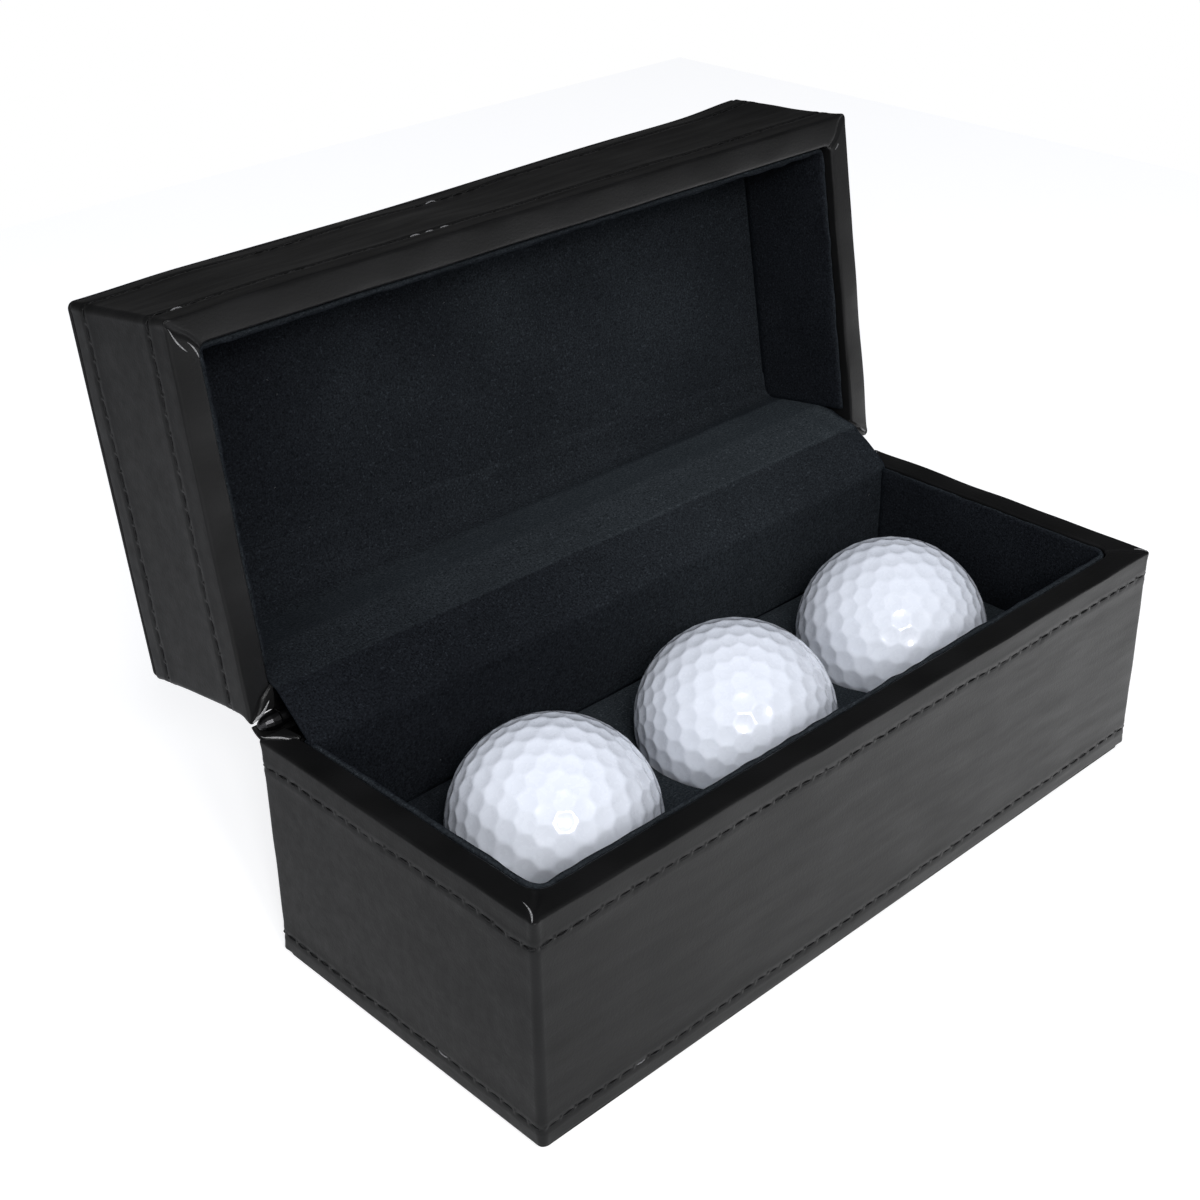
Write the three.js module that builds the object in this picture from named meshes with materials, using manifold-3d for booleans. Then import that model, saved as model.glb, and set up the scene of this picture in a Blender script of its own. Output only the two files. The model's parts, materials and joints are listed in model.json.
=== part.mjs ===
// A golf ball gift box: a leather-covered case lined with velvet, with three balls in a foam tray.
// Millimetres. X runs along the box, the front faces -Y, the hinge runs along the back and Z is up.
// The origin is the middle of the base's underside. The lid stands open, as the box is shown.
import * as THREE from 'three';
import { mergeVertices } from 'three/addons/utils/BufferGeometryUtils.js';
import Module from 'manifold-3d';

const wasm = await Module();
wasm.setup();

// The balls and the free room round them inside the velvet
const ballDiameter = 42.7;
const ballCount = 3;
const ballSpacing = 8.7;
const leftSpace = 11.15;
const rightSpace = 10.35;
const frontSpace = 10.35;
const rearSpace = 8.75;

// The case: heights outside, the lid's opening angle and the gap at the rim when it is shut
const baseHeight = 51;
const lidHeight = 34.5;
const shutGap = 0.5;
const openDegrees = 99;

// Sheet and board thicknesses
const leather = 0.8;
const wallBoard = 3.6;
const rearBoard = 3.7;
const bottomBoard = 3;
const topBoard = 4;
const liner = 1.4;
const bottomSheet = 0.9;
const trayVelvet = 0.6;

// The glued or stitched fit between two layers
const fit = 0.3;

// Edges of the leather
const outerRadius = 1.5;
const innerRadius = 4;
const edgeRound = 0.8;
const panelRound = 0.3;
const turnIn = 12;
const turnUnder = 8;
const sheetInset = 0.8;
const linerDrop = 0.3;

// The foam tray
const foamHeight = 21.1;
const wellDepth = 18.05;

// The hinge: a pin behind the back, two interleaved leaves, tacks and two bow springs
const axisBehind = 2.2;
const axisAboveRim = 0.9;
const barrelRadius = 1.8;
const boreRadius = 1;
const pinRadius = 0.85;
const pinHeadRadius = 2;
const pinHeadHeight = 4.3;
const pinHeadGap = 0.2;
const leafThickness = 0.4;
const leafDepth = 8.6;
const leafBend = 0.4;
const knuckleCount = 9;
const knuckleGap = 0.3;
const tackRadius = 0.6;
const tackHeadRadius = 1.5;
const tackHeadHeight = 0.4;
const tackHeadGap = 0.1;
const tackLength = 3;
const tackHoleGap = 0.3;
const tackDrop = 4.6;
const tackShares = [-0.8, 0, 0.8];
const springWidth = 12;
const springThickness = 0.4;
const springShares = [-0.55, 0.55];
const springFoot = 0.5;
const springHandleShare = 0.26;
const springRiseDegrees = 56;

// The velvet strip over the hinge, and how far up the lid's back it reaches
const liningThickness = 0.6;
const liningReach = 8.1;
const liningBaseShare = 0.58;
const liningLidShare = 0.42;
const liningRiseDegrees = 43;

// Counts for the round stretches, and how far a cut runs past a face
const cornerSteps = 5;
const bevelSteps = 2;
const ballDetail = 5;
const barrelSides = 20;
const pinSides = 16;
const domeSteps = 4;
const pathSteps = 14;
const cutPast = 1;

// Sizes that follow
const ballRadius = ballDiameter / 2;
const ballPitch = ballDiameter + ballSpacing;
const wall = leather + fit + wallBoard + fit + leather;
const lining = fit + liner;
const leafRoom = fit + leafThickness + tackHeadGap + tackHeadHeight + fit;
const rearWall = leather + fit + rearBoard;
const roomLength = leftSpace + ballDiameter * ballCount + ballSpacing * (ballCount - 1) + rightSpace;
const roomWidth = frontSpace + ballDiameter + rearSpace;
const boxLength = roomLength + 2 * (wall + lining);
const boxWidth = roomWidth + wall + lining + rearWall + leafRoom + liner;
const halfLength = boxLength / 2;
const halfWidth = boxWidth / 2;

// Faces across the box, from the outside in: x of the right-hand ones, then y at the front and at the back
const boardOutX = halfLength - leather - fit;
const boardInX = boardOutX - wallBoard;
const wallInX = halfLength - wall;
const linerOutX = wallInX - fit;
const roomX = linerOutX - liner;
const boardOutFrontY = -halfWidth + leather + fit;
const boardInFrontY = boardOutFrontY + wallBoard;
const wallInFrontY = -halfWidth + wall;
const linerOutFrontY = wallInFrontY + fit;
const roomFrontY = linerOutFrontY + liner;
const boardOutRearY = halfWidth - leather - fit;
const boardInRearY = boardOutRearY - rearBoard;
const leafOutY = boardInRearY - fit;
const leafInY = leafOutY - leafThickness;
const roomRearY = boardInRearY - leafRoom - liner;
const linerOutRearY = roomRearY + liner;

// The hinge axis, and the balls' row
const axisY = halfWidth + axisBehind;
const axisZ = baseHeight + axisAboveRim;
const shutTop = baseHeight + shutGap + lidHeight;
const openAngle = THREE.MathUtils.degToRad(openDegrees);
const trayBottom = bottomSheet + fit + leather + fit + bottomBoard + fit;
const trayTop = trayBottom + foamHeight + fit + trayVelvet;
const ballZ = trayTop - wellDepth + ballRadius;
const ballY = roomFrontY + frontSpace + ballRadius;
const firstBallX = -roomX + leftSpace + ballRadius;

// The two halves, each told from its rim: 'inward' points from the rim into the half
const base = {
  name: 'base',
  rim: baseHeight,
  inward: -1,
  wrapEnd: bottomSheet + fit,
  closingBoard: bottomBoard,
  linerEnd: trayBottom,
  rearLinerTop: baseHeight - linerDrop,
};
const lid = {
  name: 'lid',
  rim: baseHeight + shutGap,
  inward: 1,
  wrapEnd: shutTop - leather - fit,
  closingBoard: topBoard,
  linerEnd: shutTop - leather - fit - leather - fit - topBoard - fit - liner - fit,
  rearLinerTop: baseHeight + shutGap + liningReach + fit,
};
for (const half of [base, lid]) {
  half.rearRim = axisZ + half.inward * (barrelRadius + fit);
  half.boardEnd = half.wrapEnd - half.inward * (leather + fit);
  half.boardInner = half.boardEnd - half.inward * half.closingBoard;
}

// Materials
function finish(color, roughness, metalness = 0) {
  return { color, roughness, metalness };
}
const finishes = {
  leather: finish(0x2a2a2b, 0.5),
  velvet: finish(0x0d0d10, 1),
  board: finish(0x8a6a48, 0.85),
  foam: finish(0x3a3a3c, 0.95),
  sheet: finish(0x1a1a1a, 0.8),
  steel: finish(0x55555a, 0.35, 1),
  ball: finish(0xe8e8f0, 0.2),
};

// Solids and meshes
function toSolid(geometry) {
  const bare = geometry.clone();
  bare.deleteAttribute('normal');
  bare.deleteAttribute('uv');
  const merged = mergeVertices(bare);
  return new wasm.Manifold(new wasm.Mesh({
    numProp: 3,
    vertProperties: new Float32Array(merged.attributes.position.array),
    triVerts: new Uint32Array(merged.index.array),
  }));
}

function toGeometry(solid) {
  const mesh = solid.getMesh();
  const geometry = new THREE.BufferGeometry();
  geometry.setAttribute('position', new THREE.BufferAttribute(mesh.vertProperties, 3));
  geometry.setIndex(new THREE.BufferAttribute(mesh.triVerts, 1));
  geometry.computeVertexNormals();
  return geometry;
}

function joined(parts) {
  return parts.reduce((whole, part) => whole.add(part));
}

// A block between two places on each axis, in either order
function block(x, y, z) {
  const low = [x, y, z].map((pair) => Math.min(...pair));
  const size = [x, y, z].map((pair, i) => Math.max(...pair) - low[i]);
  const geometry = new THREE.BoxGeometry(...size);
  return toSolid(geometry.translate(...low.map((place, i) => place + size[i] / 2)));
}

// A rounded rectangle over x and y, standing between two heights, with its long edges rounded off by bevel
function slab(x, y, z, radius, bevel = 0) {
  const [x0, x1] = x;
  const [y0, y1] = y;
  const outline = new THREE.Shape();
  outline.moveTo(x0 + radius, y0);
  outline.lineTo(x1 - radius, y0);
  outline.absarc(x1 - radius, y0 + radius, radius, -Math.PI / 2, 0);
  outline.lineTo(x1, y1 - radius);
  outline.absarc(x1 - radius, y1 - radius, radius, 0, Math.PI / 2);
  outline.lineTo(x0 + radius, y1);
  outline.absarc(x0 + radius, y1 - radius, radius, Math.PI / 2, Math.PI);
  outline.lineTo(x0, y0 + radius);
  outline.absarc(x0 + radius, y0 + radius, radius, Math.PI, Math.PI * 1.5);
  const bottom = Math.min(...z);
  const geometry = new THREE.ExtrudeGeometry(outline, {
    depth: Math.max(...z) - bottom - 2 * bevel,
    curveSegments: cornerSteps,
    bevelEnabled: bevel > 0,
    bevelThickness: bevel,
    bevelSize: bevel,
    bevelOffset: -bevel,
    bevelSegments: bevelSteps,
  });
  return toSolid(geometry.translate(0, 0, bottom + bevel));
}

// An outline of (y, z) points drawn out along X
function alongX(outline, x) {
  const geometry = new THREE.ExtrudeGeometry(new THREE.Shape(outline), {
    depth: x[1] - x[0],
    bevelEnabled: false,
  });
  const axes = new THREE.Matrix4().makeBasis(
    new THREE.Vector3(0, 1, 0),
    new THREE.Vector3(0, 0, 1),
    new THREE.Vector3(1, 0, 0),
  );
  geometry.applyMatrix4(axes);
  return toSolid(geometry.translate(x[0], 0, 0));
}

// A round bar along X about the hinge axis
function barAlongX(radius, x, sides) {
  const geometry = new THREE.CylinderGeometry(radius, radius, x[1] - x[0], sides);
  geometry.rotateZ(Math.PI / 2);
  return toSolid(geometry.translate((x[0] + x[1]) / 2, axisY, axisZ));
}

function ball(radius, x) {
  const geometry = new THREE.IcosahedronGeometry(radius, ballDetail);
  return toSolid(geometry.translate(x, ballY, ballZ));
}

// The leather of one half: outside, over the rim, down the inside and under the closing board
function leatherWrap(half) {
  const down = (depth) => half.rim + half.inward * depth;
  const past = half.rim - half.inward * cutPast;
  const outer = slab(
    [-halfLength, halfLength],
    [-halfWidth, halfWidth],
    [half.wrapEnd, half.rim],
    outerRadius,
    edgeRound,
  );
  const innerSkin = block(
    [-wallInX - leather, wallInX + leather],
    [wallInFrontY - leather, boardInRearY - fit],
    [half.rim, down(turnIn)],
  );
  const rearSkin = block(
    [-wallInX, wallInX],
    [boardInRearY - fit, halfWidth],
    [past, half.rearRim + half.inward * leather],
  );
  const boardRoom = block(
    [-halfLength + leather, halfLength - leather],
    [-halfWidth + leather, halfWidth - leather],
    [down(leather), half.wrapEnd - half.inward * leather],
  );
  const frontRoom = slab(
    [-wallInX, wallInX],
    [wallInFrontY, roomRearY],
    [past, half.wrapEnd - half.inward * leather],
    innerRadius,
  );
  const rearRoom = block(
    [-wallInX, wallInX],
    [0, boardInRearY],
    [past, half.wrapEnd - half.inward * leather],
  );
  const rearCut = block(
    [-wallInX, wallInX],
    [boardInRearY - fit, halfWidth + cutPast],
    [past, half.rearRim],
  );
  const underCut = block(
    [-halfLength + turnUnder, halfLength - turnUnder],
    [-halfWidth + turnUnder, halfWidth - turnUnder],
    [half.wrapEnd + half.inward * cutPast, half.wrapEnd - half.inward * leather * 2],
  );
  const hollow = boardRoom.subtract(innerSkin).subtract(rearSkin);
  return outer.subtract(joined([hollow, frontRoom, rearRoom, rearCut, underCut]));
}

// A tack's place along the leaf, and its height on one half
function tackX(share) {
  return share * linerOutX;
}

function tackZ(half) {
  return half.rearRim + half.inward * tackDrop;
}

function tackHole(half, share, depth) {
  const radius = tackRadius + tackHoleGap;
  const length = depth[1] - depth[0];
  const geometry = new THREE.CylinderGeometry(radius, radius, length, pinSides);
  return toSolid(geometry.translate(tackX(share), (depth[0] + depth[1]) / 2, tackZ(half)));
}

function tack(half, share) {
  const neckY = leafInY - tackHeadGap;
  const quarter = Math.PI / 2 / domeSteps;
  const profile = [];
  for (let i = domeSteps; i >= 0; i -= 1) {
    const radius = tackHeadRadius * Math.sin(i * quarter);
    profile.push(new THREE.Vector2(radius, -tackHeadHeight * Math.cos(i * quarter)));
  }
  profile.unshift(
    new THREE.Vector2(0, tackLength),
    new THREE.Vector2(tackRadius, tackLength - tackRadius),
    new THREE.Vector2(tackRadius, 0),
  );
  profile.reverse();
  const geometry = new THREE.LatheGeometry(profile, pinSides);
  return toSolid(geometry.translate(tackX(share), neckY, tackZ(half)));
}

// The boards of one half
function boards(half) {
  const boardRim = half.rim + half.inward * (leather + fit);
  const rearTop = half.rearRim + half.inward * (leather + fit);
  const betweenX = boardInX - fit;
  const side = (sign) => block(
    [sign * boardInX, sign * boardOutX],
    [boardOutFrontY, boardOutRearY],
    [boardRim, half.boardEnd],
  );
  const holes = tackShares.map(
    (share) => tackHole(half, share, [boardInRearY - cutPast, leafInY + tackLength + tackHoleGap]),
  );
  const rear = block([-betweenX, betweenX], [boardInRearY, boardOutRearY], [rearTop, half.boardEnd]);
  return {
    front_board: block(
      [-betweenX, betweenX],
      [boardOutFrontY, boardInFrontY],
      [boardRim, half.boardEnd],
    ),
    rear_board: rear.subtract(joined(holes)),
    left_board: side(-1),
    right_board: side(1),
    [half === base ? 'bottom_board' : 'top_board']: block(
      [-betweenX, betweenX],
      [boardInFrontY + fit, boardInRearY - fit],
      [half.boardEnd, half.boardInner],
    ),
  };
}

// The velvet-covered cards inside one half, with their outer corners following the rim's round corners
function liners(half) {
  const top = half.rim + half.inward * linerDrop;
  const room = slab(
    [-linerOutX, linerOutX],
    [linerOutFrontY, linerOutRearY],
    [half.rim, half.linerEnd],
    innerRadius - fit,
  );
  const side = (sign) => block(
    [sign * roomX, sign * linerOutX],
    [roomFrontY + fit, roomRearY - fit],
    [top, half.linerEnd],
  ).intersect(room);
  return {
    front_liner: block(
      [-linerOutX, linerOutX],
      [linerOutFrontY, roomFrontY],
      [top, half.linerEnd],
    ).intersect(room),
    rear_liner: block(
      [-linerOutX, linerOutX],
      [roomRearY, linerOutRearY],
      [half.rearLinerTop, half.linerEnd],
    ),
    left_liner: side(-1),
    right_liner: side(1),
  };
}

// One steel leaf: a flange down the board, one over the rear rim, and its own knuckles round the pin
function hingeLeaf(half, firstKnuckle) {
  const skin = axisZ + half.inward * barrelRadius;
  const inside = skin - half.inward * leafThickness;
  const pitch = 2 * linerOutX / knuckleCount;
  const angle = [
    [leafOutY, skin],
    [leafOutY, skin + half.inward * leafDepth],
    [leafInY, skin + half.inward * leafDepth],
    [leafInY, inside + half.inward * leafBend],
    [leafInY + leafBend, inside],
    [halfWidth - fit, inside],
    [halfWidth - fit, skin],
  ].map(([y, z]) => new THREE.Vector2(y, z));
  const parts = [alongX(angle, [-linerOutX, linerOutX])];
  const bores = [];
  for (let i = firstKnuckle; i < knuckleCount; i += 2) {
    const start = -linerOutX + i * pitch;
    const span = [start + knuckleGap / 2, start + pitch - knuckleGap / 2];
    parts.push(barAlongX(barrelRadius, span, barrelSides));
    parts.push(block(span, [leafOutY, axisY], [inside, skin]));
    bores.push(barAlongX(boreRadius, [span[0] - cutPast, span[1] + cutPast], barrelSides));
  }
  const holes = tackShares.map(
    (share) => tackHole(half, share, [leafInY - cutPast, leafOutY + cutPast]),
  );
  return joined(parts).subtract(joined([...bores, ...holes]));
}

// The hinge pin, with a dome on each end
function hingePin() {
  const start = linerOutX + pinHeadGap;
  const quarter = Math.PI / 2 / domeSteps;
  const end = [new THREE.Vector2(pinRadius, start)];
  for (let i = 0; i <= domeSteps; i += 1) {
    const radius = pinHeadRadius * Math.cos(i * quarter);
    end.push(new THREE.Vector2(radius, start + pinHeadHeight * Math.sin(i * quarter)));
  }
  const otherEnd = end.map((point) => new THREE.Vector2(point.x, -point.y));
  const geometry = new THREE.LatheGeometry([...otherEnd.reverse(), ...end], pinSides);
  geometry.rotateZ(-Math.PI / 2);
  return toSolid(geometry.translate(0, axisY, axisZ));
}

// Where a (y, z) place of the shut lid stands when the lid is open
function opened(point) {
  return point.clone().rotateAround(new THREE.Vector2(axisY, axisZ), -openAngle);
}

// A bent strip: its middle line given as a curve in (y, z), drawn out along X
function bentStrip(curve, thickness, x) {
  const near = [];
  const far = [];
  for (let i = 0; i <= pathSteps; i += 1) {
    const point = curve.getPoint(i / pathSteps);
    const along = curve.getTangent(i / pathSteps);
    const offset = new THREE.Vector2(-along.y, along.x).multiplyScalar(thickness / 2);
    near.push(point.clone().add(offset));
    far.push(point.clone().sub(offset));
  }
  return alongX([...far, ...near.reverse()], x);
}

function heading(degrees) {
  const angle = THREE.MathUtils.degToRad(degrees);
  return new THREE.Vector2(Math.cos(angle), Math.sin(angle));
}

// The velvet strip over the hinge, from the base's rear liner to the lid's
function hingeLining() {
  const middleY = (roomRearY + linerOutRearY) / 2;
  const start = new THREE.Vector2(middleY, base.rearLinerTop + fit + liningThickness / 2);
  const end = opened(new THREE.Vector2(middleY, lid.rearLinerTop - fit));
  const reach = start.distanceTo(end);
  const rise = heading(liningRiseDegrees).multiplyScalar(reach * liningBaseShare);
  const back = opened(new THREE.Vector2(middleY, lid.rim)).sub(end).normalize();
  const curve = new THREE.CubicBezierCurve(
    start,
    start.clone().add(rise),
    end.clone().add(back.multiplyScalar(reach * liningLidShare)),
    end,
  );
  return bentStrip(curve, liningThickness, [-linerOutX, linerOutX]);
}

// A bow spring under the velvet, from the top of one leaf to the other
function bowSpring(share) {
  const footZ = base.inward * (barrelRadius - leafThickness - fit - springThickness / 2);
  const foot = new THREE.Vector2(leafInY + springFoot, axisZ + footZ);
  const otherFoot = opened(new THREE.Vector2(foot.x, axisZ - footZ));
  const handle = heading(springRiseDegrees).multiplyScalar(foot.distanceTo(otherFoot) * springHandleShare);
  const bend = foot.clone().add(handle);
  const otherBend = opened(new THREE.Vector2(bend.x, 2 * axisZ - bend.y));
  const curve = new THREE.CubicBezierCurve(foot, bend, otherBend, otherFoot);
  const middle = share * linerOutX;
  return bentStrip(curve, springThickness, [middle - springWidth / 2, middle + springWidth / 2]);
}

// The foam tray with a well for each ball, and its velvet cover
function ballPlaces() {
  return Array.from({ length: ballCount }, (_, i) => firstBallX + i * ballPitch);
}

function trayBlock(z) {
  return block([-roomX + fit, roomX - fit], [roomFrontY + fit, roomRearY - fit], z);
}

function trayFoam() {
  const wells = ballPlaces().map((x) => ball(ballRadius + fit + trayVelvet + fit, x));
  return trayBlock([trayBottom, trayBottom + foamHeight]).subtract(joined(wells));
}

function trayCover() {
  const sheet = trayBlock([trayTop - trayVelvet, trayTop]);
  const below = trayBlock([trayBottom, trayTop]);
  const cups = ballPlaces().map((x) => ball(ballRadius + fit + trayVelvet, x).intersect(below));
  const wells = ballPlaces().map((x) => ball(ballRadius + fit, x));
  return joined([sheet, ...cups]).subtract(joined(wells));
}

// The scene graph: the base's pieces stand as modelled, and the lid's turn about the hinge axis
const box = new THREE.Group();
const lidTurn = new THREE.Group();
const lidPieces = new THREE.Group();
lidTurn.position.set(0, axisY, axisZ);
lidTurn.rotation.x = -openAngle;
lidPieces.position.set(0, -axisY, -axisZ);
lidTurn.add(lidPieces);
box.add(lidTurn);

function place(group, name, solid, look) {
  const mesh = new THREE.Mesh(toGeometry(solid), new THREE.MeshStandardMaterial(finishes[look]));
  mesh.name = name;
  group.add(mesh);
}

for (const [group, half, firstKnuckle] of [[box, base, 1], [lidPieces, lid, 0]]) {
  for (const [name, solid] of Object.entries(boards(half))) {
    place(group, `${half.name}_${name}`, solid, 'board');
  }
  for (const [name, solid] of Object.entries(liners(half))) {
    place(group, `${half.name}_${name}`, solid, 'velvet');
  }
  place(group, `${half.name}_leather_wrap`, leatherWrap(half), 'leather');
  place(group, `${half.name}_hinge_leaf`, hingeLeaf(half, firstKnuckle), 'steel');
  tackShares.forEach((share, i) => {
    place(group, `${half.name}_leaf_tack_${i + 1}`, tack(half, share), 'steel');
  });
}

place(box, 'base_bottom_sheet', slab(
  [-halfLength + sheetInset, halfLength - sheetInset],
  [-halfWidth + sheetInset, halfWidth - sheetInset],
  [0, bottomSheet],
  outerRadius,
), 'sheet');
place(lidPieces, 'lid_top_leather', slab(
  [-halfLength, halfLength],
  [-halfWidth, halfWidth],
  [shutTop - leather, shutTop],
  outerRadius,
  panelRound,
), 'leather');
place(lidPieces, 'lid_ceiling_liner', block(
  [-linerOutX, linerOutX],
  [linerOutFrontY, linerOutRearY],
  [lid.linerEnd + fit, lid.linerEnd + fit + liner],
), 'velvet');

place(box, 'ball_tray_foam', trayFoam(), 'foam');
place(box, 'ball_tray_velvet', trayCover(), 'velvet');
ballPlaces().forEach((x, i) => place(box, `golf_ball_${i + 1}`, ball(ballRadius, x), 'ball'));

place(box, 'hinge_pin', hingePin(), 'steel');
place(box, 'hinge_lining', hingeLining(), 'velvet');
place(box, 'left_bow_spring', bowSpring(springShares[0]), 'steel');
place(box, 'right_bow_spring', bowSpring(springShares[1]), 'steel');

export default box;
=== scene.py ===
"""The looks of a leather-covered golf ball gift box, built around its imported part.

Everything is in metres in the part's own frame: X runs along the box, the front faces -Y and Z is up.
The lid's pieces are shaped with the lid shut and then turned open about the hinge, as the part stands.
"""
import json
import math

import bmesh
import bpy
import numpy as np
from mathutils import Matrix, Vector
from mathutils.bvhtree import BVHTree
from mathutils.geometry import delaunay_2d_cdt


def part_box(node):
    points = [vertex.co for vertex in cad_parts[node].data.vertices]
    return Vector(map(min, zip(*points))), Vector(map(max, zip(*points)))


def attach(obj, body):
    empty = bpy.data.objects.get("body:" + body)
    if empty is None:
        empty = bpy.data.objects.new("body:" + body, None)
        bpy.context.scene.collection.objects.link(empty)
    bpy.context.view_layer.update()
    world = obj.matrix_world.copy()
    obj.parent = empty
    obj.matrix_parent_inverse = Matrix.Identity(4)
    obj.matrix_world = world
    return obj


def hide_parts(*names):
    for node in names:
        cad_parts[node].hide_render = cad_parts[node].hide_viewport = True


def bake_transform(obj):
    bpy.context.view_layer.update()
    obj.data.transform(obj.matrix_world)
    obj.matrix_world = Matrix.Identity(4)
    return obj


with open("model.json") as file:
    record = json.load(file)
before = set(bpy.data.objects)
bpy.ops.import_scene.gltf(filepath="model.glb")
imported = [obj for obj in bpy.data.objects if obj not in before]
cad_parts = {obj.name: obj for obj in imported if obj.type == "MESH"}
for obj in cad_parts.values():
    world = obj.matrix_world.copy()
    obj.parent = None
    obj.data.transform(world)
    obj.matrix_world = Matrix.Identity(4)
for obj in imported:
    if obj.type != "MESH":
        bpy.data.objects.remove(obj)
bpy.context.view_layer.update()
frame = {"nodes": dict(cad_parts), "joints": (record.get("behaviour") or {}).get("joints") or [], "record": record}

MM = 0.001
TINY = 1e-12

# Camera: fitted to the box's corners and the balls' outlines in the photograph
CAMERA_PLACE = (-249.98 * MM, -223.66 * MM, 247.04 * MM)
CAMERA_TURN_DEG = (60.8076, 0.8384, -43.8481)
CAMERA_LENS = 57.2385
SENSOR_WIDTH = 36.0

# The hinge, and how far open the lid stands
HINGE = next(joint for joint in frame["joints"] if joint["name"] == "lid_hinge")
AXIS_Y, AXIS_Z = HINGE["pos_m"][1:]
OPEN = math.radians(HINGE["range_deg"][1])

# Thicknesses, fits and rounded edges that the part's own solids follow
FIT = 0.3 * MM
LEATHER = 0.8 * MM
OUTER_RADIUS = 1.5 * MM
REAR_INNER_RADIUS = 0.6 * MM
EDGE_ROUND = 0.6 * MM
CORNER_TIP = 0.45 * MM
TURN_IN = 12.0 * MM
TURN_UNDER = 4.4 * MM

# Stitching
STITCH_PITCH = 3.6 * MM
THREAD_RADIUS = 0.18 * MM
GROOVE_DEPTH = 0.16 * MM
GROOVE_WIDTH = 0.30 * MM


# Turning about the hinge

def turned(points, angle):
    """Points turned about the hinge axis, which runs along X."""
    points = np.asarray(points, float)
    y = points[..., 1] - AXIS_Y
    z = points[..., 2] - AXIS_Z
    c = math.cos(angle)
    s = math.sin(angle)
    return np.stack([points[..., 0], AXIS_Y + y * c - z * s, AXIS_Z + y * s + z * c], axis=-1)


def opened(points):
    """Points of the shut lid, turned to where the part stands."""
    return turned(points, -OPEN)


def shut_box(name):
    """A lid node's lowest and highest corners with the lid shut."""
    vertices = frame["nodes"][name].data.vertices
    flat = np.zeros(len(vertices) * 3)
    vertices.foreach_get("co", flat)
    points = turned(flat.reshape(-1, 3), OPEN)
    return points.min(axis=0), points.max(axis=0)


# Where the part's faces are

BASE_LOW, BASE_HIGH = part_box("base_leather_wrap")
LID_LOW, LID_HIGH = shut_box("lid_leather_wrap")
HALF_LENGTH = BASE_HIGH[0]
HALF_WIDTH = BASE_HIGH[1]
LINER_OUT_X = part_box("base_right_liner")[1][0]
ROOM_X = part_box("base_right_liner")[0][0]
LINER_OUT_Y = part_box("base_front_liner")[0][1]
ROOM_FRONT_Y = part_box("base_front_liner")[1][1]
ROOM_REAR_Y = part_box("base_rear_liner")[0][1]
WALL_IN_X = LINER_OUT_X + FIT
WALL = HALF_LENGTH - WALL_IN_X
REAR_IN_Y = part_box("base_rear_board")[0][1]
TRAY_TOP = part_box("ball_tray_velvet")[1][2]


class Half:
    """One half of the case, told from its rim: inward points from the rim into the half."""

    def __init__(self, name, rim, end, inward, rear_rim, rows, inner_radius, card_drop, drooping_tip):
        self.name = name
        self.drooping_tip = drooping_tip
        self.inner_radius = inner_radius
        self.card_drop = card_drop
        self.rim = rim
        self.end = end
        self.inward = inward
        self.depth = abs(end - rim)
        self.rear_drop = abs(rear_rim - rim)
        self.rows = rows

    def height(self, depth):
        """How high a depth under the rim lies, with the lid shut."""
        return self.rim + self.inward * depth

    def place(self, points):
        """Points of the shut half, turned to where it stands."""
        return opened(points) if self.name == "lid" else points


BASE_REAR_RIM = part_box("base_rear_board")[1][2] + FIT + LEATHER
LID_REAR_RIM = shut_box("lid_rear_board")[0][2] - FIT - LEATHER
BASE = Half("base", BASE_HIGH[2], BASE_LOW[2], -1, BASE_REAR_RIM, rows=(5.4 * MM, 45.5 * MM),
            inner_radius=4.0 * MM, card_drop=0.0, drooping_tip=0.0)
LID = Half("lid", LID_LOW[2], LID_HIGH[2], 1, LID_REAR_RIM, rows=(6.1 * MM, 28.4 * MM),
           inner_radius=2.2 * MM, card_drop=1.5 * MM, drooping_tip=1.5 * MM)

# Where the shut halves meet, how near to it the leather starts to give way, and the least room that stays
SEAM = (BASE.rim + LID.rim) / 2
SEAM_NEAR = 0.16 * MM
SEAM_LEAST = 0.03 * MM


# Smooth fields and steps

def ripple(points, scale, seed, waves=14):
    """A smooth, seeded, wavy field, mostly between -1 and 1, with bumps about scale apart."""
    rng = np.random.default_rng(seed)
    directions = rng.normal(size=(waves, 3))
    directions /= np.linalg.norm(directions, axis=1)[:, None]
    numbers = 2 * math.pi / scale * rng.uniform(0.65, 1.35, waves)
    phases = rng.uniform(0, 2 * math.pi, waves)
    total = np.sin(points @ (directions * numbers[:, None]).T + phases).sum(axis=-1)
    return total / math.sqrt(waves)


def waves_of(points, layers):
    """Several ripples together: each layer is a height, a scale and a seed."""
    return sum(height * ripple(points, scale, seed) for height, scale, seed in layers)


def smooth_step(value, low, high):
    """0 up to low, 1 from high on, and smooth between."""
    t = np.clip((value - low) / (high - low), 0, 1)
    return t * t * (3 - 2 * t)


def hump(value, width):
    """1 at nought, falling off smoothly over a width to both sides."""
    return np.exp(-(value / width) ** 2)


# Meshes

def add_mesh(name, points, faces, look):
    """A new mesh object from points and faces, its faces turned outwards."""
    mesh = bpy.data.meshes.new(name)
    mesh.from_pydata(np.asarray(points, float).tolist(), [], [list(map(int, face)) for face in faces])
    work = bmesh.new()
    work.from_mesh(mesh)
    bmesh.ops.recalc_face_normals(work, faces=work.faces)
    work.to_mesh(mesh)
    work.free()
    mesh.polygons.foreach_set("use_smooth", [True] * len(mesh.polygons))
    mesh.materials.append(look)
    made = bpy.data.objects.new(name, mesh)
    bpy.context.scene.collection.objects.link(made)
    return made


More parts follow.
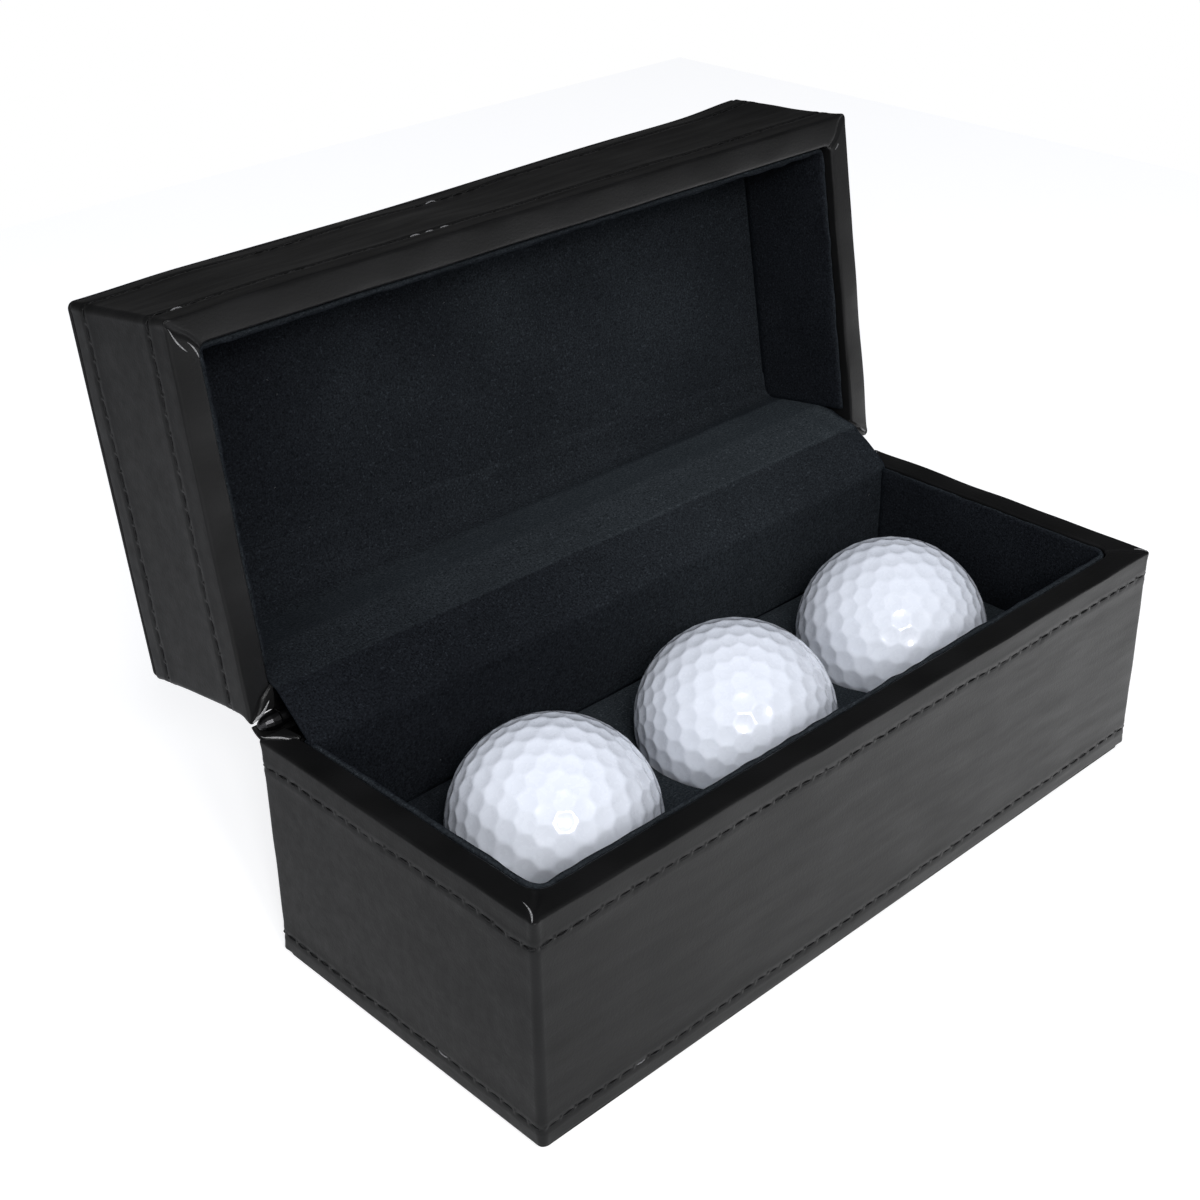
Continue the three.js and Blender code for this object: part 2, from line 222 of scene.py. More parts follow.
def grid_faces(rows, columns, rows_close=False, columns_close=False, first=0):
    """Quads between a grid's neighbouring points, which may close on itself either way."""
    r = np.arange(rows if rows_close else rows - 1)
    c = np.arange(columns if columns_close else columns - 1)
    r, c = np.meshgrid(r, c, indexing="ij")
    r2 = (r + 1) % rows
    c2 = (c + 1) % columns
    quads = np.stack([r * columns + c, r2 * columns + c, r2 * columns + c2, r * columns + c2], axis=-1)
    return (quads.reshape(-1, 4) + first).tolist()


def tube_faces(rings, sides):
    """A closed tube of rings one after another, with a face on each end."""
    faces = grid_faces(rings, sides, columns_close=True)
    faces.append(list(range(sides)))
    faces.append(list(range((rings - 1) * sides, rings * sides)))
    return faces


def edge_faces(border, count):
    """Quads between a closed line of points and its copy, whose numbers are count higher."""
    return [[a, b, b + count, a + count] for a, b in zip(border, border[1:] + border[:1])]


def grid_border(rows, columns):
    """The points round a grid's edge, in order."""
    around = [(0, j) for j in range(columns)]
    around += [(i, columns - 1) for i in range(1, rows)]
    around += [(rows - 1, j) for j in range(columns - 2, -1, -1)]
    around += [(i, 0) for i in range(rows - 2, 0, -1)]
    return [i * columns + j for i, j in around]


def two_sided(rows, columns):
    """The faces of two like grids of points, one over the other, closed along their edges."""
    count = rows * columns
    faces = grid_faces(rows, columns) + grid_faces(rows, columns, first=count)
    return faces + edge_faces(grid_border(rows, columns), count)


def add_sheet(name, middle, normal, lift, thickness, look):
    """A closed sheet on both sides of a grid of points, raised by lift along its normals."""
    sides = [middle + normal * (lift + sign * thickness / 2)[..., None] for sign in (1, -1)]
    points = np.concatenate([side.reshape(-1, 3) for side in sides])
    return add_mesh(name, points, two_sided(*middle.shape[:2]), look)


def rings_around(paths, normals, radii, sides):
    """Rings round each path: paths and normals are (count, steps, 3), radii is (steps) or (count, steps)."""
    along = np.gradient(paths, axis=1)
    along /= np.linalg.norm(along, axis=2, keepdims=True) + TINY
    across = np.cross(along, normals)
    across /= np.linalg.norm(across, axis=2, keepdims=True) + TINY
    up = np.cross(across, along)
    angles = np.arange(sides) * 2 * math.pi / sides
    radii = np.broadcast_to(radii, paths.shape[:2])[..., None, None]
    ring = np.cos(angles)[:, None] * up[:, :, None, :] + np.sin(angles)[:, None] * across[:, :, None, :]
    return paths[:, :, None, :] + radii * ring


def add_tubes(name, paths, normals, radii, sides, look):
    """Many closed tubes as one mesh."""
    rings = rings_around(paths, normals, radii, sides)
    count, steps = paths.shape[:2]
    one = tube_faces(steps, sides)
    faces = [[i + k * steps * sides for i in face] for k in range(count) for face in one]
    return add_mesh(name, rings.reshape(-1, 3), faces, look)


def set_field(obj, name, values):
    """A number at each point of a mesh, which a material can read."""
    field = obj.data.attributes.new(name, "FLOAT", "POINT")
    field.data.foreach_set("value", np.asarray(values, np.float32))


def hand_over(piece, slot, body, *nodes):
    """Hides the nodes a piece replaces, if any, and hangs the piece on the body it rides on; the slot is not used.
    """
    if nodes:
        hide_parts(*nodes)
    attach(piece, body)


# Node materials

class Nodes:
    """A node tree, with short calls that add nodes and join them."""

    def __init__(self, tree):
        self.tree = tree

    def join(self, value, target):
        """Links a socket to the target, or sets the target's value. Colours get their fourth number here."""
        if isinstance(value, bpy.types.NodeSocket):
            self.tree.links.new(value, target)
        elif isinstance(value, tuple) and len(target.default_value) > len(value):
            target.default_value = (*value, 1.0)
        else:
            target.default_value = value

    def node(self, kind, settings=None, **inputs):
        """A new node with its settings, and its inputs set or joined."""
        made = self.tree.nodes.new(kind)
        for key, value in (settings or {}).items():
            setattr(made, key, value)
        for key, value in inputs.items():
            self.join(value, made.inputs[key.replace("_", " ")])
        return made

    def maths(self, operation, a, b=0.0):
        """The outcome of a sum on one or two values."""
        made = self.node("ShaderNodeMath", {"operation": operation})
        self.join(a, made.inputs[0])
        self.join(b, made.inputs[1])
        return made.outputs["Value"]

    def mixed(self, factor, first, second):
        """The first colour where the factor is 0, the second where it is 1."""
        made = self.node("ShaderNodeMix", {"data_type": "RGBA"})
        for value, target in zip((factor, first, second), (s for s in made.inputs if s.enabled)):
            self.join(value, target)
        return next(s for s in made.outputs if s.enabled)

    def ranged(self, value, low, high, to_low=0.0, to_high=1.0, way="LINEAR"):
        """A value between low and high, stretched to other limits and held there."""
        made = self.node("ShaderNodeMapRange", {"clamp": True, "interpolation_type": way}, Value=value,
                         From_Min=low, From_Max=high, To_Min=to_low, To_Max=to_high)
        return made.outputs["Result"]

    def split(self, vector):
        """A vector's X, Y and Z."""
        return self.node("ShaderNodeSeparateXYZ", None, Vector=vector).outputs

    def rays(self):
        """Whether a ray comes from the camera, and whether it was reflected or let through."""
        path = self.node("ShaderNodeLightPath").outputs
        shiny = self.maths("MAXIMUM", path["Is Glossy Ray"], path["Is Transmission Ray"])
        return path["Is Camera Ray"], shiny


class Look(Nodes):
    """A node material around one Principled shader."""

    def __init__(self, name, **settings):
        self.material = bpy.data.materials.new(name)
        self.material.use_nodes = True
        super().__init__(self.material.node_tree)
        self.shader = self.tree.nodes["Principled BSDF"]
        for key, value in settings.items():
            self.set(key.replace("_", " ").title(), value)
        self.place = self.node("ShaderNodeTexCoord").outputs["Object"]

    def set(self, socket, value):
        """Sets or joins one of the shader's inputs."""
        names = {"Ior": "IOR", "Specular Level": "Specular IOR Level"}
        self.join(value, self.shader.inputs[names.get(socket, socket)])

    def noise(self, scale, detail=3.0, roughness=0.5, place=None):
        """Noise of about scale waves to the metre."""
        made = self.node("ShaderNodeTexNoise", None, Vector=place or self.place, Scale=scale, Detail=detail,
                         Roughness=roughness)
        return made.outputs["Fac"]

    def cells(self, scale, feature="F1", place=None):
        """The distance from the middles or the edges of random cells."""
        place = place or self.place
        made = self.node("ShaderNodeTexVoronoi", {"feature": feature}, Vector=place, Scale=scale)
        return made.outputs["Distance"]

    def stretched(self, scale):
        """The object's own places, stretched along its axes."""
        return self.node("ShaderNodeMapping", None, Vector=self.place, Scale=scale).outputs["Vector"]

    def field(self, name):
        """A number that the mesh holds at each point."""
        return self.node("ShaderNodeAttribute", {"attribute_name": name}).outputs["Fac"]

    def bumps(self, *layers):
        """Bump nodes one on another: each layer is (height socket, strength, distance)."""
        last = None
        for height, strength, distance in layers:
            made = self.node("ShaderNodeBump", None, Height=height, Strength=strength, Distance=distance)
            if last:
                self.join(last.outputs["Normal"], made.inputs["Normal"])
            last = made
        self.join(last.outputs["Normal"], self.shader.inputs["Normal"])


def leather_look():
    """Leatherette: a fine pebbled grain over faint creases, shinier and paler at the edges and corners the mesh
    marks: partly real wear, partly a painted highlight.
    """
    look = Look("black leatherette", specular_level=0.28, ior=1.5)
    patches = look.noise(60, 3.0, 0.55)
    streaks = look.noise(420, 3.0, 0.6, look.stretched((0.15, 1.0, 1.0)))
    worn_and_highlight = look.field("wear")
    tone = look.mixed(look.ranged(patches, 0.35, 0.65), (0.0044, 0.0045, 0.0046), (0.0062, 0.0062, 0.0062))
    look.set("Base Color", look.mixed(look.maths("MULTIPLY", worn_and_highlight, 0.5), tone, (0.016, 0.016, 0.017)))
    rough = look.ranged(streaks, 0.3, 0.7, 0.40, 0.50)
    look.set("Roughness", look.maths("SUBTRACT", rough, look.maths("MULTIPLY", worn_and_highlight, 0.08)))
    grain = look.cells(1900)
    creases = look.cells(820, "DISTANCE_TO_EDGE", look.stretched((1.0, 0.8, 1.2)))
    look.bumps(
        (patches, 0.05, 0.0006),
        (look.ranged(creases, 0.0, 0.12), 0.08, 0.00005),
        (grain, 0.24, 0.00006),
        (look.noise(5200, 2.0), 0.20, 0.00004),
    )
    return look.material


def velvet_look():
    """Velvet: a dark pile with painted glints in specks, and a lighter tone of painted light and sheen where the
    mesh's nap field says so.
    """
    look = Look("black velvet", roughness=0.95, specular_level=0.04, sheen_weight=0.015, sheen_roughness=0.5)
    look.set("Sheen Tint", (0.55, 0.74, 1.0))
    brushed = look.noise(38, 3.0, 0.55)
    pile = look.noise(2500, 3.0, 0.7)
    tufts = look.noise(760, 2.0, 0.6)
    specks = look.ranged(look.noise(1500, 1.0, 0.5, look.stretched((1.0, 1.3, 1.1))), 0.66, 0.74)
    depth = look.maths("MULTIPLY", look.ranged(pile, 0.30, 0.70), look.ranged(brushed, 0.3, 0.7, 0.7, 1))
    depth = look.maths("ADD", depth, look.maths("MULTIPLY", specks, 0.9))
    tone = look.mixed(depth, (0.0012, 0.0014, 0.0019), (0.0150, 0.0175, 0.0218))
    # painted light: a much lighter tone that stands in for the sheen and light falling on parts of the cloth
    nap = look.mixed(depth, (0.008, 0.0100, 0.0118), (0.054, 0.0640, 0.0715))
    look.set("Base Color", look.mixed(look.field("nap"), tone, nap))
    look.bumps((brushed, 0.25, 0.0012), (tufts, 0.25, 0.0002), (pile, 0.5, 0.00016))
    return look.material


def ball_look():
    """A white painted cover under a clear coat, faintly mottled."""
    look = Look("golf ball cover", roughness=0.26, specular_level=0.4, coat_weight=1.0, coat_roughness=0.03)
    mottle = look.noise(120, 2.0)
    look.set("Base Color", look.mixed(mottle, (0.745, 0.785, 0.865), (0.790, 0.825, 0.905)))
    look.set("Roughness", look.ranged(look.noise(700, 2.0), 0.3, 0.7, 0.22, 0.32))
    look.bumps((look.noise(2600, 2.0), 0.05, 0.00003))
    return look.material


def steel_look():
    """Blackened steel with drawn streaks along X and stains."""
    look = Look("blackened steel", metallic=1.0)
    streaks = look.noise(900, 3.0, 0.6, look.stretched((0.08, 1.0, 1.0)))
    stains = look.noise(260, 3.0)
    look.set("Base Color", look.mixed(stains, (0.05, 0.05, 0.053), (0.11, 0.11, 0.115)))
    look.set("Roughness", look.ranged(streaks, 0.3, 0.7, 0.26, 0.44))
    look.bumps((streaks, 0.12, 0.00004), (stains, 0.15, 0.00006))
    return look.material


def fibre_look(name, dark, light, rough, scale, stretch=(1.0, 1.0, 1.0), depth=0.00012, strength=0.5):
    """Thread, board, foam, paper or raw edge: two tones of noise with a matching bump."""
    look = Look(name, specular_level=0.25)
    fibres = look.noise(scale, 4.0, 0.7, look.stretched(stretch))
    broad = look.noise(scale / 14, 2.0)
    look.set("Base Color", look.mixed(look.ranged(fibres, 0.35, 0.65), dark, light))
    look.set("Roughness", look.ranged(broad, 0.3, 0.7, rough - 0.06, rough + 0.06))
    look.bumps((broad, 0.15, depth * 2), (fibres, strength, depth))
    return look.material


LEATHER_LOOK = leather_look()
VELVET_LOOK = velvet_look()
BALL_LOOK = ball_look()
STEEL_LOOK = steel_look()
THREAD_LOOK = fibre_look("black thread", (0.004, 0.004, 0.004), (0.016, 0.016, 0.017), 0.55, 4200)
PALE_THREAD_LOOK = fibre_look("frayed thread", (0.09, 0.09, 0.093), (0.22, 0.22, 0.226), 0.8, 4200)
RAW_EDGE_LOOK = fibre_look("raw edge of the leatherette",
                           (0.12, 0.12, 0.123), (0.33, 0.33, 0.33), 0.75, 3000)
LINT_LOOK = fibre_look("lint", (0.05, 0.05, 0.052), (0.15, 0.15, 0.15), 0.9, 4000)
BOARD_LOOK = fibre_look("fibreboard", (0.13, 0.075, 0.035), (0.27, 0.17, 0.09), 0.85, 1500, (0.4, 1.0, 1.0))
FOAM_LOOK = fibre_look("grey foam", (0.02, 0.02, 0.023), (0.055, 0.055, 0.06), 0.95, 1800, depth=0.0003)
SHEET_LOOK = fibre_look("black paper", (0.005, 0.005, 0.005), (0.013, 0.013, 0.013), 0.8, 1400)


# The plan of the leather: its outer and inner lines against the distance s along the outside,
# from the middle of the front, past the right-hand end, to the middle of the back and round again

ARC = OUTER_RADIUS * math.pi / 2
FRONT_RUN = HALF_LENGTH - OUTER_RADIUS
SIDE_RUN = 2 * (HALF_WIDTH - OUTER_RADIUS)
SIDE_START = FRONT_RUN + ARC
REAR_ARC = SIDE_START + SIDE_RUN
REAR_START = REAR_ARC + ARC
HALF_ROUND = REAR_START + FRONT_RUN
ALL_ROUND = 2 * HALF_ROUND
REAR_TURN_Y = REAR_IN_Y - REAR_INNER_RADIUS
REAR_TURN = SIDE_START + REAR_TURN_Y + HALF_WIDTH - OUTER_RADIUS
STEP_DOWN = REAR_START + FRONT_RUN - WALL_IN_X
FRONT_CORNER = FRONT_RUN + ARC / 2
REAR_CORNER = REAR_ARC + ARC / 2
CORNERS = (FRONT_CORNER, REAR_CORNER, ALL_ROUND - REAR_CORNER, ALL_ROUND - FRONT_CORNER)


def folded(s):
    """The side of the box, 1 or -1, and the distance on that side."""
    s = np.mod(s, ALL_ROUND)
    right = s <= HALF_ROUND
    return np.where(right, 1.0, -1.0), np.where(right, s, ALL_ROUND - s)


def outer_line(s):
    """Outer points and outward directions in plan."""
    side, q = folded(s)
    first = np.clip((q - FRONT_RUN) / OUTER_RADIUS, 0, math.pi / 2)
    second = np.clip((q - REAR_ARC) / OUTER_RADIUS, 0, math.pi / 2)
    heading = first + second
    x = (np.minimum(q, FRONT_RUN) + OUTER_RADIUS * (np.sin(first) - 1 + np.cos(second))
         - np.maximum(q - REAR_START, 0))
    y = (-HALF_WIDTH + OUTER_RADIUS * (1 - np.cos(first) + np.sin(second))
         + np.clip(q - SIDE_START, 0, SIDE_RUN))
    return side * x, y, side * np.sin(heading), -np.cos(heading)


def inner_line(half, s):
    """Inner points in plan, matched to the outer ones."""
    side, q = folded(s)
    outer_x, outer_y = outer_line(q)[:2]
    radius = half.inner_radius
    turn_start = WALL_IN_X - radius
    turn_end = REAR_ARC - (SIDE_RUN + OUTER_RADIUS - WALL - radius)
    turn = np.clip((q - turn_start) / (turn_end - turn_start), 0, 1) * math.pi / 2
    small = np.clip((q - REAR_TURN) / (STEP_DOWN - REAR_TURN), 0, 1) * math.pi / 2
    front_x = np.minimum(q, turn_start) + radius * np.sin(turn)
    side_y = np.clip(outer_y, -HALF_WIDTH + WALL + radius, REAR_TURN_Y)
    front_y = side_y - radius * np.cos(turn) + REAR_INNER_RADIUS * np.sin(small)
    corner_x = WALL_IN_X - REAR_INNER_RADIUS * (1 - np.cos(small))
    rear_x = outer_x * (WALL_IN_X - REAR_INNER_RADIUS) / WALL_IN_X
    x = np.where(q < turn_end, front_x, np.where(q < STEP_DOWN, corner_x, rear_x))
    return side * x, front_y


# The leather round one half

# How many stitches a row has, and the pitch that spreads them evenly
STITCHES = round(ALL_ROUND / STITCH_PITCH)
PITCH = ALL_ROUND / STITCHES

# The faces' waves: height, scale and seed of each
FACE_WAVES = ((0.08 * MM, 34 * MM, 3), (0.03 * MM, 11 * MM, 4))

# Along the outside: the steps beside each hole, in millimetres, and beside the step down, the reach and count
# of the closer ones at a corner, and the least. Down the face: the spacing, the steps at a row, and the least
BESIDE_HOLE = (-0.34, -0.16, 0.16, 0.34)
BESIDE_STEP = np.array([-0.5, -0.2, -0.01, 0.01, 0.3]) * MM
CORNER_REACH = 2.4 * MM
CORNER_STEPS = 21
LEAST_STEP = 0.015 * MM
FACE_SPACING = 1.5 * MM
ROW_STEPS = np.arange(-9, 10) * 0.17 * MM
LEAST_DEPTH = 0.12 * MM

# A stitch row: its slow wobble, its dips at the corners, and a deeper one on the base before the left corner
ROW_WOBBLE = 0.09 * MM
ROW_WAVES = (3, 7, 12, 31)
CORNER_DIPS = (0.05, 0.35)
CORNER_DIP_WIDTH = 4 * MM
BASE_DIP = 0.7 * MM
BASE_DIP_AT = 5 * MM
BASE_DIP_WIDTH = 6 * MM

# Round the holes: how hard they pull, the land between two stitches, the lips beside the groove, the dent
# that a hole pulls into the leather, and the pucker beside it
TUG_LEAST = 0.35
TUG_MORE = 1.5
SLACK = 0.35
LAND_LENGTH = 0.42 * MM
LAND_WIDTH = 0.35 * MM
LAND_RISE = 0.09 * MM
LIP_RISE = 0.10 * MM
LIP_AT = 1.3 * MM
LIP_WIDTH = 0.8 * MM
DENT_DEPTH = 0.10 * MM
DENT_LENGTH = 0.8 * MM
DENT_WIDTH = 0.9 * MM
PUCKER_RISE = 0.24 * MM
PUCKER_AT = (0.1 * MM, -0.4 * MM)
PUCKER_SIZE = (0.30 * MM, 0.26 * MM)

# The rim: its crown, its waves and the depth, width and bend of the mitres across it
RIM_CROWN = 0.16 * MM
RIM_WAVE = 0.10 * MM
MITRE_DEPTH = 0.34 * MM
MITRE_WIDTH = 0.62 * MM
MITRE_BEND = 0.5 * MM

# How far the lid's front bows out, all along and further to the right, how far its top right corner flares
# and over what width, and the shares of the bow that are there at the rim and come in above it
LID_BOW = 0.55 * MM
LID_BOW_RIGHT = 1.25 * MM
LID_FLARE = 1.15 * MM
FLARE_WIDTH = 13 * MM
BOW_SHARES = (0.35, 0.65)

# The folded point at a corner's ends: how far it reaches from the rim and from the far end, how much of it
# the far end has, its width along the outside, and how far it reaches inward
TIP_REACH = 2.4 * MM
TIP_REACH_FAR = 1.6 * MM
TIP_SHARE_FAR = 0.9
TIP_WIDTH = 0.9 * MM
TIP_INWARD = 1.6 * MM

# How deep under the rim the step down at the back fades out, and the shares of wear and painted highlight at edges
# and corners
STEP_FADE = 5 * MM
EDGE_WEAR_AND_HIGHLIGHT = 0.8
CORNER_WEAR_AND_HIGHLIGHT = 0.6
CORNER_WEAR_AND_HIGHLIGHT_WIDTH = 1.6 * MM

# Threads: where along a stitch they run, how deep they start, how far they rise, and how uneven they are
THREAD_SPAN = (0.12, 0.88)
THREAD_START = -0.50
THREAD_RISE = 0.52
THREAD_SLANT = 0.05
THREAD_UNEVEN = 0.03
PALE_THREAD_WIDTH = 0.85

# Shares of pale stitches in the two rows, and the cluster of pale stitches on the lid's front
PALE_SHARES = {"rim": 0.03, "far": 0.02}
PALE_CLUSTER_AT = ALL_ROUND - 29 * MM
PALE_CLUSTER_REACH = 7 * MM
PALE_CLUSTER_SHARE = 0.7


def thinned(values, least):
    """Rising values without those that lie closer than least to the one before."""
    kept = [values[0]]
    for value in values[1:]:
        if value - kept[-1] > least:
            kept.append(value)
    return kept


def stations():
    """Distances along the outside: even steps that meet each stitch hole, closer at corners and step."""
    steps = [np.arange(0, ALL_ROUND - PITCH / 12, PITCH / 6)]
    holes = np.arange(0, ALL_ROUND - PITCH / 2, PITCH)
    for beside in BESIDE_HOLE:
        steps.append(np.mod(holes + beside * MM, ALL_ROUND))
    for corner in CORNERS:
        steps.append(np.linspace(corner - CORNER_REACH, corner + CORNER_REACH, CORNER_STEPS))
    for down in (STEP_DOWN, ALL_ROUND - STEP_DOWN):
        steps.append(down + BESIDE_STEP)
    return np.array(thinned(np.unique(np.concatenate(steps)), LEAST_STEP))


def row_rng(half, row, seed, for_lid):
    """The random numbers of one stitch row's line and pulls."""
    return np.random.default_rng(seed + round(row / MM * 10) + (for_lid if half.name == "lid" else 0))


def row_depth(half, row, s):
    """How deep under the rim a stitch row runs: nearly level, with a slow wobble and dips at the corners."""
    rng = row_rng(half, row, 11, 7)
    depth = np.full_like(np.asarray(s, float), row)
    for waves in ROW_WAVES:
        depth = depth + ROW_WOBBLE * np.sin(2 * math.pi * waves * s / ALL_ROUND + rng.uniform(0, 6.28))
    for corner in CORNERS:
        depth = depth + rng.uniform(*CORNER_DIPS) * MM * hump(s - corner, CORNER_DIP_WIDTH)
    if half.name == "base" and row < half.depth / 2:
        before = s < CORNERS[3] + 2 * MM
        depth = depth + BASE_DIP * hump(s - CORNERS[3] + BASE_DIP_AT, BASE_DIP_WIDTH) * before
    return depth


def tug(half, row, s):
    """How hard each stitch hole pulls on the leather: most a little, a few much more."""
    pulls = TUG_LEAST + TUG_MORE * row_rng(half, row, 17, 5).random(STITCHES) ** 3
    return pulls[np.mod(np.round(s / PITCH).astype(int), STITCHES)]


def relief(half, s, depth, points):
    """How far the outer skin stands in or out of its flat face."""
    raised = waves_of(points, FACE_WAVES)
    along = np.mod(s + PITCH / 2, PITCH) - PITCH / 2
    slack = 1 + SLACK * ripple(points, 9 * MM, 5)
    land = hump(along, LAND_LENGTH)
    beside_hole = hump(along - PUCKER_AT[0], PUCKER_SIZE[0])
    for row in half.rows:
        off = depth - row_depth(half, row, s)
        pull = tug(half, row, s)
        raised = raised - GROOVE_DEPTH * slack * hump(off, GROOVE_WIDTH) * (1 - land)
        raised = raised + LIP_RISE * (hump(off - LIP_AT, LIP_WIDTH) + hump(off + LIP_AT, LIP_WIDTH))
        raised = raised - DENT_DEPTH * pull * hump(along, DENT_LENGTH) * hump(off, DENT_WIDTH)
        raised = raised + LAND_RISE * land * hump(off, LAND_WIDTH)
        raised = raised + PUCKER_RISE * pull * beside_hole * hump(off - PUCKER_AT[1], PUCKER_SIZE[1])
    return raised


def mitre(s, share):
    """The cut that runs across the rim at each corner, as a groove."""
    width = MITRE_WIDTH * (1 + 1.2 * share)
    return sum(hump(s - corner + MITRE_BEND * np.sin(7 * share), width) for corner in CORNERS)


def warp(half, points):
    """The lid's front bows outwards, more towards the right, and its top right corner flares."""
    if half.name != "lid":
        return points
    x = points[..., 0]
    y = points[..., 1]
    z = points[..., 2]
    front = smooth_step(-y, HALF_WIDTH - WALL, HALF_WIDTH - 0.5 * MM)
    high = smooth_step(z, LID.rim - 6 * MM, LID.end + 2 * MM)
    ramp = LID_BOW * smooth_step(x, -HALF_LENGTH, -HALF_LENGTH + 25 * MM)
    ramp = ramp + LID_BOW_RIGHT * smooth_step(x, -30 * MM, 55 * MM) * high
    flare = LID_FLARE * hump(x - HALF_LENGTH, FLARE_WIDTH) * high
    moved = points.copy()
    moved[..., 1] = y - front * (ramp * (BOW_SHARES[0] + BOW_SHARES[1] * high) + flare)
    return moved


def face_depths(half):
    """Depths down the outer face, closer together at the stitch rows."""
    top = EDGE_ROUND
    bottom = half.depth - EDGE_ROUND
    depths = [np.linspace(top, bottom, round((bottom - top) / FACE_SPACING))]
    for row in half.rows:
        depths.append(row + ROW_STEPS)
    every = np.unique(np.concatenate(depths))
    every = every[(every >= top) & (every <= bottom)]
    inner = thinned([top, *every[1:-1]], LEAST_DEPTH)[1:]
    return np.array([top, *(depth for depth in inner if bottom - depth > LEAST_DEPTH), bottom])


def leather_section(half):
    """The leather's closed section: insets from the outside, depths under the rim, outward tilts, kinds."""
    e = EDGE_ROUND
    bottom = half.depth

    def quarter(count):
        return np.linspace(0, math.pi / 2, count)

    line = [(inset, bottom, -1.0, "under") for inset in np.linspace(TURN_UNDER, e, 5)[:-1]]
    line += [(e - e * math.sin(a), bottom - e + e * math.cos(a), -math.cos(a), "face") for a in quarter(6)]
    line += [(0, depth, 0.0, "face") for depth in face_depths(half)[::-1][1:-1]]
    line += [(e - e * math.cos(a), e - e * math.sin(a), math.sin(a), "face") for a in quarter(8)]
    line += [(inset, 0, 1.0, "rim") for inset in np.linspace(e, WALL - e, 10)[1:-1]]
    line += [(WALL - e + e * math.sin(a), e - e * math.cos(a), math.cos(a), "inner") for a in quarter(7)]
    line += [(WALL, share, 0, "leg") for share in (0.3, 0.65, 1.0)]
    line += [(WALL - LEATHER, share, 0, "leg") for share in (1.0, 0.5)]
    line += [(inset, LEATHER, 0, "inside") for inset in np.linspace(WALL - LEATHER, LEATHER, 4)]
    line += [(LEATHER, depth, 0, "inside") for depth in np.linspace(LEATHER, bottom - LEATHER, 7)[1:]]
    line.append((TURN_UNDER, bottom - LEATHER, 0, "inside"))
    return [np.array(column)[None, :] for column in zip(*line)]


def corner_tip(half, s, inset, depth):
    """How far the leather stands out at the ends of an upright corner, where it is folded to a point."""
    from_end = half.depth - depth
    at_rim = np.exp(-np.abs(depth) / TIP_REACH)
    ends = at_rim + TIP_SHARE_FAR * np.exp(-np.abs(from_end) / TIP_REACH_FAR)
    corner = sum(hump(s - c, TIP_WIDTH) for c in CORNERS)
    return CORNER_TIP * corner * ends * np.clip(1 - inset / TIP_INWARD, 0, 1)


def kept_off(clearance):
    """Distances from the seam, eased so that the rims of the shut box come close but don't touch."""
    reach = SEAM_NEAR - SEAM_LEAST
    eased = SEAM_LEAST + reach * np.exp((np.minimum(clearance, SEAM_NEAR) - SEAM_NEAR) / reach)
    return np.where(clearance < SEAM_NEAR, eased, clearance)


def skin(half, s, inset, depth, tilt):
    """Points of the leather's outer skin, with its relief, before the lid is turned open."""
    outer_x, outer_y, out_x, out_y = outer_line(s)
    inner_x, inner_y = inner_line(half, s)
    share = inset / WALL
    x = outer_x + (inner_x - outer_x) * share
    y = outer_y + (inner_y - outer_y) * share
    points = np.stack(np.broadcast_arrays(x, y, half.height(depth)), axis=-1)
    flat = np.sqrt(np.clip(1 - tilt ** 2, 0, 1))
    raised = relief(half, s, depth, points) * flat
    on_rim = np.clip(tilt, 0, 1)
    crown = RIM_CROWN * np.sin(math.pi * np.clip(share, 0, 1)) + RIM_WAVE * ripple(points, 16 * MM, 6)
    raised_rim = on_rim * (crown - MITRE_DEPTH * mitre(s, share) * (inset > 0.2 * MM))
    raised = raised + corner_tip(half, s, inset, depth)
    left_rear = hump(s - CORNERS[2], 1.3 * MM) * np.exp(-np.abs(depth) / (1.8 * MM))
    droop = half.drooping_tip * left_rear * np.clip(1 - inset / (3.0 * MM), 0, 1)
    points[..., 0] += out_x * raised
    points[..., 1] += out_y * raised + droop
    points[..., 2] -= half.inward * raised_rim
    points[..., 2] = SEAM + half.inward * kept_off((points[..., 2] - SEAM) * half.inward)
    return warp(half, points)


def leather_wrap(half):
    """The leather of one half: outside, over the rim and down the inside, with its stitched grooves."""
    s = stations()[:, None]
    inset, depth, tilt, kind = leather_section(half)
    q = folded(s)[1]
    drop = half.rear_drop * (q > STEP_DOWN)
    turned_in = 1 - smooth_step(q, REAR_TURN - 2 * MM, STEP_DOWN - MM)
    leg = LEATHER + FIT + (TURN_IN - LEATHER - FIT) * turned_in
    on_top = np.isin(kind, ["rim", "inner", "leg"]) | (depth <= LEATHER)
    fade = np.where(on_top, 1.0, np.clip(1 - depth / STEP_FADE, 0, 1))
    leg_depth = EDGE_ROUND + (leg - EDGE_ROUND) * depth
    depth_now = np.where(kind == "leg", np.maximum(leg_depth, LEATHER * 1.05), depth) + drop * fade
    tilt = tilt * np.ones_like(depth_now)
    points = skin(half, s, inset, depth_now, tilt)
    made = add_mesh(
        f"{half.name}_leather",
        half.place(points).reshape(-1, 3),
        grid_faces(*points.shape[:2], rows_close=True, columns_close=True),
        LEATHER_LOOK,
    )
    # paler, shinier edges and corners: partly wear, partly a painted highlight
    edge = hump(np.abs(tilt) - 0.7, 0.35)
    corner = sum(hump(s - c, CORNER_WEAR_AND_HIGHLIGHT_WIDTH) for c in CORNERS)
    wear = np.clip(edge * EDGE_WEAR_AND_HIGHLIGHT + corner * CORNER_WEAR_AND_HIGHLIGHT, 0, 1)
    wear = wear * (0.6 + 0.4 * ripple(points, 14 * MM, 8))
    set_field(made, "wear", np.clip(wear, 0, 1).reshape(-1))
    hand_over(made, "leather", half.name, f"{half.name}_leather_wrap")
    return made


